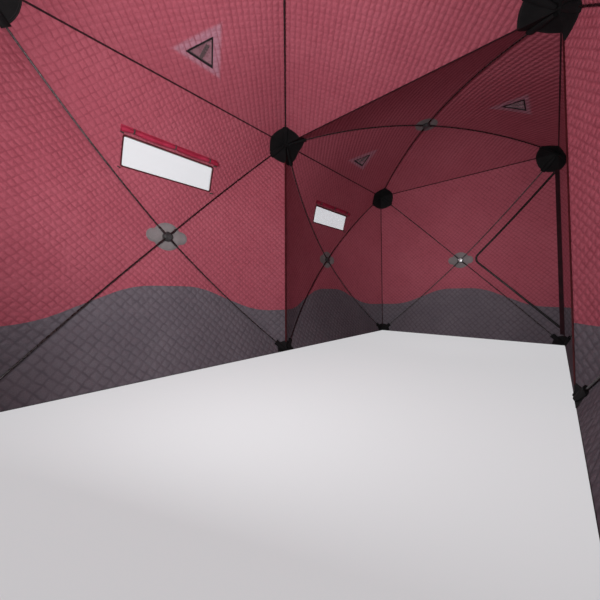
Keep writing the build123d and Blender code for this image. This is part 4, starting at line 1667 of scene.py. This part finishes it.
def hood_spot(square, flip, t, s):
    """A point of the hood: t from -1 to 1 along its mouth, s from 0 at the mouth to 1 at its top."""
    from_eave = HOOD_FROM_EAVE + s * HOOD_TALL
    v = MODULE - from_eave if flip else from_eave
    foot = spot(square, t * HOOD_SIDE / 2 * (1 - s), v, CLOTH + 0.0015)
    free = (1 - abs(t)) * (1 - s)
    sag = HOOD_SAG * math.sin(math.pi * abs(t)) * (1 - s)
    seed = SEEDS[square] + (5 if flip else 0)
    wrinkle = 0.002 * noise.noise(Vector((t * 3, s * 4, seed))) * free
    # Close to the ridge the straight hood would dip into the bowed roof, so it never goes below the foot.
    return foot + Vector(UP) * max(0, HOOD_LIFT * free - sag + wrinkle)


def hood(name, square, flip):
    """The hood's cloth."""
    def place(across, along):
        return hood_spot(square, flip, 2 * across / HOOD_SIDE, 0.97 * along / HOOD_TALL)

    return strip(name, place, HOOD_SIDE, HOOD_TALL, 32, 24, HOOD_THICK)


def hood_hem(name, square, flip):
    """The round corded hem of its mouth."""
    def place(angle, share, radius):
        t = 2 * share - 1
        ahead = t if t > 0.98 else t + 0.01
        along = hood_spot(square, flip, ahead, 0) - hood_spot(square, flip, ahead - 0.01, 0)
        along.normalize()
        across = along.cross(Vector(UP)).normalized()
        r = HEM_RADIUS * radius
        turned = across * r * math.cos(angle) + across.cross(along) * r * math.sin(angle)
        return hood_spot(square, flip, t, 0) + turned

    roll = bent_cylinder(name, 10, 32, place)
    face_outwards(roll)
    smooth(roll, 50)
    return roll


# %% The four hoods
for square in ROOFS:
    for flip in (False, True):
        side = "left" if flip else "right"
        sheet = hood(f"hood_{square}_{side}", square, flip)
        settle(sheet, hood_cloth, "root", "hood_cloth", "vent_hoods")
        roll = hood_hem(f"hood_hem_{square}_{side}", square, flip)
        settle(roll, binding_cloth, "root", "binding")


# %% [markdown]
# ## Zips
# The door is closed by one long zip that runs down beside the poles, round the hub, and back to the
# corner. Each half of its tape carries its own row of teeth: one half is sewn to the wall and one to the
# door, so that they part when the door opens. A tooth is modelled once and set out along the line.


# %% Walking along the zip
ZIP_END = 0.03  # it stops this far from the corner
DOOR_SIDE = {"end_far": FAR_DOOR_SIDE, "end_near": -FAR_DOOR_SIDE}


def zip_walk(side, spacing):
    """Evenly spaced points of the zip's line, each with its unit direction, in the square's axes."""
    line = [Vector(point) for point in door_outline(side, DOOR_GAP / 2)]
    spots, carry = [], 0.0
    for start, end in zip(line, line[1:]):
        length = (end - start).length
        direction = (end - start) / length
        while carry < length:
            point = start + direction * carry
            if abs(point.x) < HALF - ZIP_END:
                spots.append((point, direction))
            carry += spacing
        carry -= length
    return spots


def away_from_zip(direction, side, half):
    """Square to the zip, to the wall's side for a half of 1 and to the door's for -1."""
    return Vector((direction.y, -direction.x)) * side * half


# %% One half of the tape
ZIP_TAPE_HALF, ZIP_THICK, ZIP_LEVEL = 0.013, 0.0012, -0.0008
TAPE_STEP = 0.012


def zip_tape(square, half):
    """One half of the tape and its length."""
    side = DOOR_SIDE[square]
    spots = zip_walk(side, TAPE_STEP)
    length = TAPE_STEP * (len(spots) - 1)

    def place(across, along):
        share = along / length * (len(spots) - 1)
        number = min(len(spots) - 2, int(share))
        (p, d), (q, e) = spots[number], spots[number + 1]
        point, direction = p.lerp(q, share - number), d.lerp(e, share - number).normalized()
        point = point + away_from_zip(direction, side, half) * (across + ZIP_TAPE_HALF / 2)
        return spot(square, point.x, point.y, ZIP_LEVEL)

    tape = strip(f"zip_tape_{square}_{half}", place, ZIP_TAPE_HALF, length, 4, len(spots) * 2, ZIP_THICK)
    return tape, length


# %% One tooth and a row of teeth
TOOTH_PITCH, TOOTH_OUT = 0.004, 0.0009
TOOTH_SIZE = (0.0026, 0.0022, 0.0034)


def tooth_master():
    """A block with a small raised face, in its own axes: across the zip, along it and outwards."""
    bpy.ops.object.select_all(action="DESELECT")
    bpy.ops.mesh.primitive_cube_add(size=1)
    tooth = newest("tooth")
    tooth.scale = TOOTH_SIZE
    bake_place(tooth)
    edit_top(tooth, TOOTH_SIZE[2] / 2)
    bpy.ops.mesh.inset(thickness=0.0006, depth=0.0003)
    bpy.ops.object.mode_set(mode="OBJECT")
    return tooth


def teeth(square, half, tooth):
    """A row of teeth on one mesh. The two halves' teeth stand between each other."""
    side = DOOR_SIDE[square]
    form, matrix = SQUARES[square]
    points, faces = [], []
    base = [vertex.co.copy() for vertex in tooth.data.vertices]
    polygons = [tuple(polygon.vertices) for polygon in tooth.data.polygons]
    for point, direction in zip_walk(side, TOOTH_PITCH):
        across = away_from_zip(direction, side, half).to_3d()
        along = direction.to_3d()
        centre = (point + direction * (TOOTH_PITCH / 4 * half)).to_3d() + across * TOOTH_OUT
        centre.z = form.bulge(centre.x, centre.y) + ZIP_LEVEL
        turn = Matrix((across, along, across.cross(along))).transposed()
        first = len(points)
        points += [matrix @ (centre + turn @ co) for co in base]
        faces += [tuple(first + index for index in polygon) for polygon in polygons]
    mesh = bpy.data.meshes.new(f"teeth_{square}_{half}")
    mesh.from_pydata(points, [], faces)
    row = bpy.data.objects.new(mesh.name, mesh)
    bpy.context.scene.collection.objects.link(row)
    face_outwards(row)
    return row


# %% The zips of both doors
tooth = tooth_master()
for square in ENDS:
    end = square.split("_")[1]
    for half, body, owner in ((1, "root", "wall"), (-1, end + "_door", "door")):
        tape, length = zip_tape(square, half)
        tape.name = f"zip_tape_{end}_{owner}"
        settle(tape, zip_tape_cloth, body, "zip", *(["zip_tapes"] if half == 1 else []))
        row = teeth(square, half, tooth)
        row.name = f"zip_teeth_{end}_{owner}"
        settle(row, zip_finish, body, "zip")
drop(tooth)


# %% [markdown]
# ## The doors' hinges
# A door has no metal hinge: along the hut's corner it is only a fold of cloth. A soft strip covers that
# fold on both faces.


# %% The hinge strips
HINGE_STRIP, HINGE_STRIP_THICK = 0.036, 0.0016
HINGE_LOW, HINGE_HIGH = 0.12, EAVE - EAVE_CAP + 0.02
HINGE_LENGTH = HINGE_HIGH - HINGE_LOW
STILL_TO, SWINGS_FROM = 0.004, 0.012  # distances from the doorway's edge, on both sides of the hinge


def hinge_strip(square, layer, lift):
    """A strip up the corner, over the hinge."""
    side = DOOR_SIDE[square]

    def place(across, along):
        u = side * (HALF - 0.002 - HINGE_STRIP / 2 + across)
        return spot(square, u, HINGE_LOW + along, lift)

    return strip(f"hinge_{layer}_{square}", place, HINGE_STRIP, HINGE_LENGTH, 16, 90, HINGE_STRIP_THICK)


for square in ENDS:
    side, end = DOOR_SIDE[square], square.split("_")[1]
    for layer, lift in (("inner", -0.0044), ("outer", CLOTH + 0.0032)):
        piece = hinge_strip(square, layer, lift)
        wear(piece, seam_cloth)
        wall_point = spot(square, side * (HALF - HINGE_INSET + STILL_TO), 1.0, lift)
        door_point = spot(square, side * (HALF - HINGE_INSET - SWINGS_FROM), 1.0, lift)
        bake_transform(piece)
        print(f"{piece.name}: {len(piece.data.polygons)} faces between root and {end}_door")


# %% [markdown]
# ## The skirt
# Round the foot of the walls lies a flat skirt of tough dark cloth, which is weighted down to keep the wind
# out. It isn't quite flat: it has low waves that grow towards its hemmed outer edge.


# %% The skirt
SKIRT_WIDTH, SKIRT_THICK = 0.2, 0.0018
SKIRT_CELLS = 90  # to a metre
SKIRTS = {
    "skirt_left": ((0, HALF, 0), (1, 0, 0), (0, 1, 0), MODULE),
    "skirt_right": ((0, -HALF, 0), (-1, 0, 0), (0, -1, 0), MODULE),
    "skirt_far": ((MODULE, 0, 0), (0, -1, 0), (1, 0, 0), HALF),
    "skirt_near": ((-MODULE, 0, 0), (0, 1, 0), (-1, 0, 0), HALF),
}


def skirt(name, origin, along_axis, out_axis, half):
    """A skirt along one side, mitred at both ends. Half is half of that side's length."""
    origin, along_axis, out_axis = Vector(origin), Vector(along_axis), Vector(out_axis)
    seed = half * 7 + origin.x + 2 * origin.y

    def place(across, along):
        out = across + SKIRT_WIDTH / 2
        run = (along - half) / half * (half + out)
        free = step(0.02, SKIRT_WIDTH, out)
        low = 0.5 + 0.5 * noise.noise(Vector((run * 2.6, out * 3, seed)))
        rough = 0.5 + 0.5 * noise.noise(Vector((run * 11, out * 9, seed + 9)))
        height = 0.0012 + 0.0015 * (1 - free) + free * (0.0045 * low + 0.0015 * rough)
        inset = 0.003 * free * noise.noise(Vector((run * 4, 0, seed + 3))) - 0.002 * free
        return origin + along_axis * run + out_axis * (out + inset) + Vector((0, 0, height))

    return strip(name, place, SKIRT_WIDTH, 2 * half, 22, int(half * SKIRT_CELLS), SKIRT_THICK)


for node, side in SKIRTS.items():
    half = side[-1]
    piece = skirt(node + "_cloth", *side)
    settle(piece, skirt_cloth, "root", "skirt_cloth", node)


# %% [markdown]
# ## The camera
# The camera stands low inside the near cube, close to its right-hand corner, and looks along the hut. Its
# place, turn and lens were fitted to the hut's corners in the photograph.


# %% The camera
CAMERA_PLACE = Vector((-2.1171, -1.0347, 0.5914))
CAMERA_YAW, CAMERA_PITCH, CAMERA_ROLL = -0.8534, 0.0294, 0.0053
PHOTO_SIDE = 600
FOCAL_PIXELS = 285.2254
MIDDLE_PIXEL = (306.59, 285.81)
SENSOR = 36.0

camera_data = bpy.data.cameras.new("camera")
camera = bpy.data.objects.new("camera", camera_data)
bpy.context.scene.collection.objects.link(camera)
camera_data.sensor_width = SENSOR
camera_data.lens = FOCAL_PIXELS / PHOTO_SIDE * SENSOR
camera_data.shift_x = (PHOTO_SIDE / 2 - MIDDLE_PIXEL[0]) / PHOTO_SIDE
camera_data.shift_y = (MIDDLE_PIXEL[1] - PHOTO_SIDE / 2) / PHOTO_SIDE
camera_data.clip_start = 0.01
turn = Matrix.Rotation(CAMERA_YAW, 4, "Z") @ Matrix.Rotation(CAMERA_PITCH, 4, "X")
turn = turn @ Matrix.Rotation(CAMERA_ROLL, 4, "Y")
camera.matrix_world = Matrix.Translation(CAMERA_PLACE) @ turn @ Matrix.Rotation(math.radians(90), 4, "X")
bpy.context.scene.camera = camera
print("lens", round(camera_data.lens, 2), "mm")


# %% [markdown]
# ## The light
# The light outside is a pale sky with one large soft lamp on each side. Inside, where closed cloth keeps
# the sky out, two soft lamps hang where the camera doesn't see them: a wide one beside the camera, and a
# weak one with a narrow beam for the far end.


# %% The light
SKY_LAMP, SKY_WATTS = 5, 420
FAR_SPREAD = math.radians(100)


def soft_lamp(name, place, aim, size, watts):
    """A round lamp that the camera doesn't see."""
    data = bpy.data.lights.new(name, "AREA")
    data.shape = "DISK"
    data.size = size
    data.energy = watts
    lamp = bpy.data.objects.new(name, data)
    lamp.location = place
    lamp.rotation_mode = "QUATERNION"
    lamp.rotation_quaternion = (Vector(aim) - Vector(place)).to_track_quat("-Z", "Y")
    lamp.visible_camera = False
    bpy.context.scene.collection.objects.link(lamp)
    return lamp


soft_lamp("sky_left", (-4, 7, 6), (0, 0, 1), SKY_LAMP, SKY_WATTS)
soft_lamp("sky_right", (4, -8, 6), (0, 0, 1), SKY_LAMP, SKY_WATTS)
soft_lamp("inside_near", (-2.08, -0.3, 1.1), (0.17, 0.65, 1.75), 0.9, 48)
far_lamp = soft_lamp("inside_far", (0.0, -0.3, 1.0), (2.5, 0.1, 1.05), 0.8, 5.5)
far_lamp.data.spread = FAR_SPREAD

world = bpy.data.worlds.new("pale_sky")
bpy.context.scene.world = world
world.use_nodes = True
sky = world.node_tree.nodes["Background"]
sky.inputs["Color"].default_value = (0.93, 0.95, 1.0, 1)
sky.inputs["Strength"].default_value = 0.75
bpy.context.scene.view_settings.view_transform = "Standard"
print("lamps:", [light.name for light in bpy.data.lights])


# %% [markdown]
# ## The floor
# The floor belongs to the render only. Seen directly, or in a gloss, most of its brightness is its own, so
# that it stays evenly pale. For the light that falls on the hut it is dimmer.


# %% The floor
PALE, DIM = (0.8, 0.81, 0.83), (0.42, 0.425, 0.435)
GLOW_STRENGTH, GLOW_SHARE = 0.95, 0.7

bpy.ops.object.select_all(action="DESELECT")
bpy.ops.mesh.primitive_plane_add(size=60, location=(0, 0, -0.0005))
floor = newest("floor")
floor_finish = Finish("pale_floor", PALE, 0.8)
floor_finish.bump(floor_finish.noise(floor_finish.coordinates("Object"), 3.0, 2.0), 0.002, 0.2)
rays = floor_finish.nodes.new("ShaderNodeLightPath")
seen = floor_finish.math("MAXIMUM", rays.outputs["Is Camera Ray"], rays.outputs["Is Glossy Ray"])
seen = floor_finish.math("MAXIMUM", seen, rays.outputs["Is Transmission Ray"])
floor_finish.paint(floor_finish.blend(seen, DIM, PALE))
glow = floor_finish.nodes.new("ShaderNodeEmission")
glow.inputs["Color"].default_value = (*PALE, 1)
glow.inputs["Strength"].default_value = GLOW_STRENGTH
mix = floor_finish.nodes.new("ShaderNodeMixShader")
floor_finish.link(floor_finish.math("MULTIPLY", seen, GLOW_SHARE), mix.inputs["Fac"])
floor_finish.link(floor_finish.shader.outputs["BSDF"], mix.inputs[1])
floor_finish.link(glow.outputs["Emission"], mix.inputs[2])
floor_finish.link(mix.outputs["Shader"], floor_finish.nodes["Material Output"].inputs["Surface"])
wear(floor, floor_finish.material)
floor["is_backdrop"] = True
print("the floor is", round(floor.dimensions.x), "m wide")


# %% [markdown]
# ## The dressed model's size
# The last cell prints the dressed model's box.


# %% Sizes and finish
low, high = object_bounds()
print("dressed model", [round(x, 3) for x in low], [round(x, 3) for x in high])
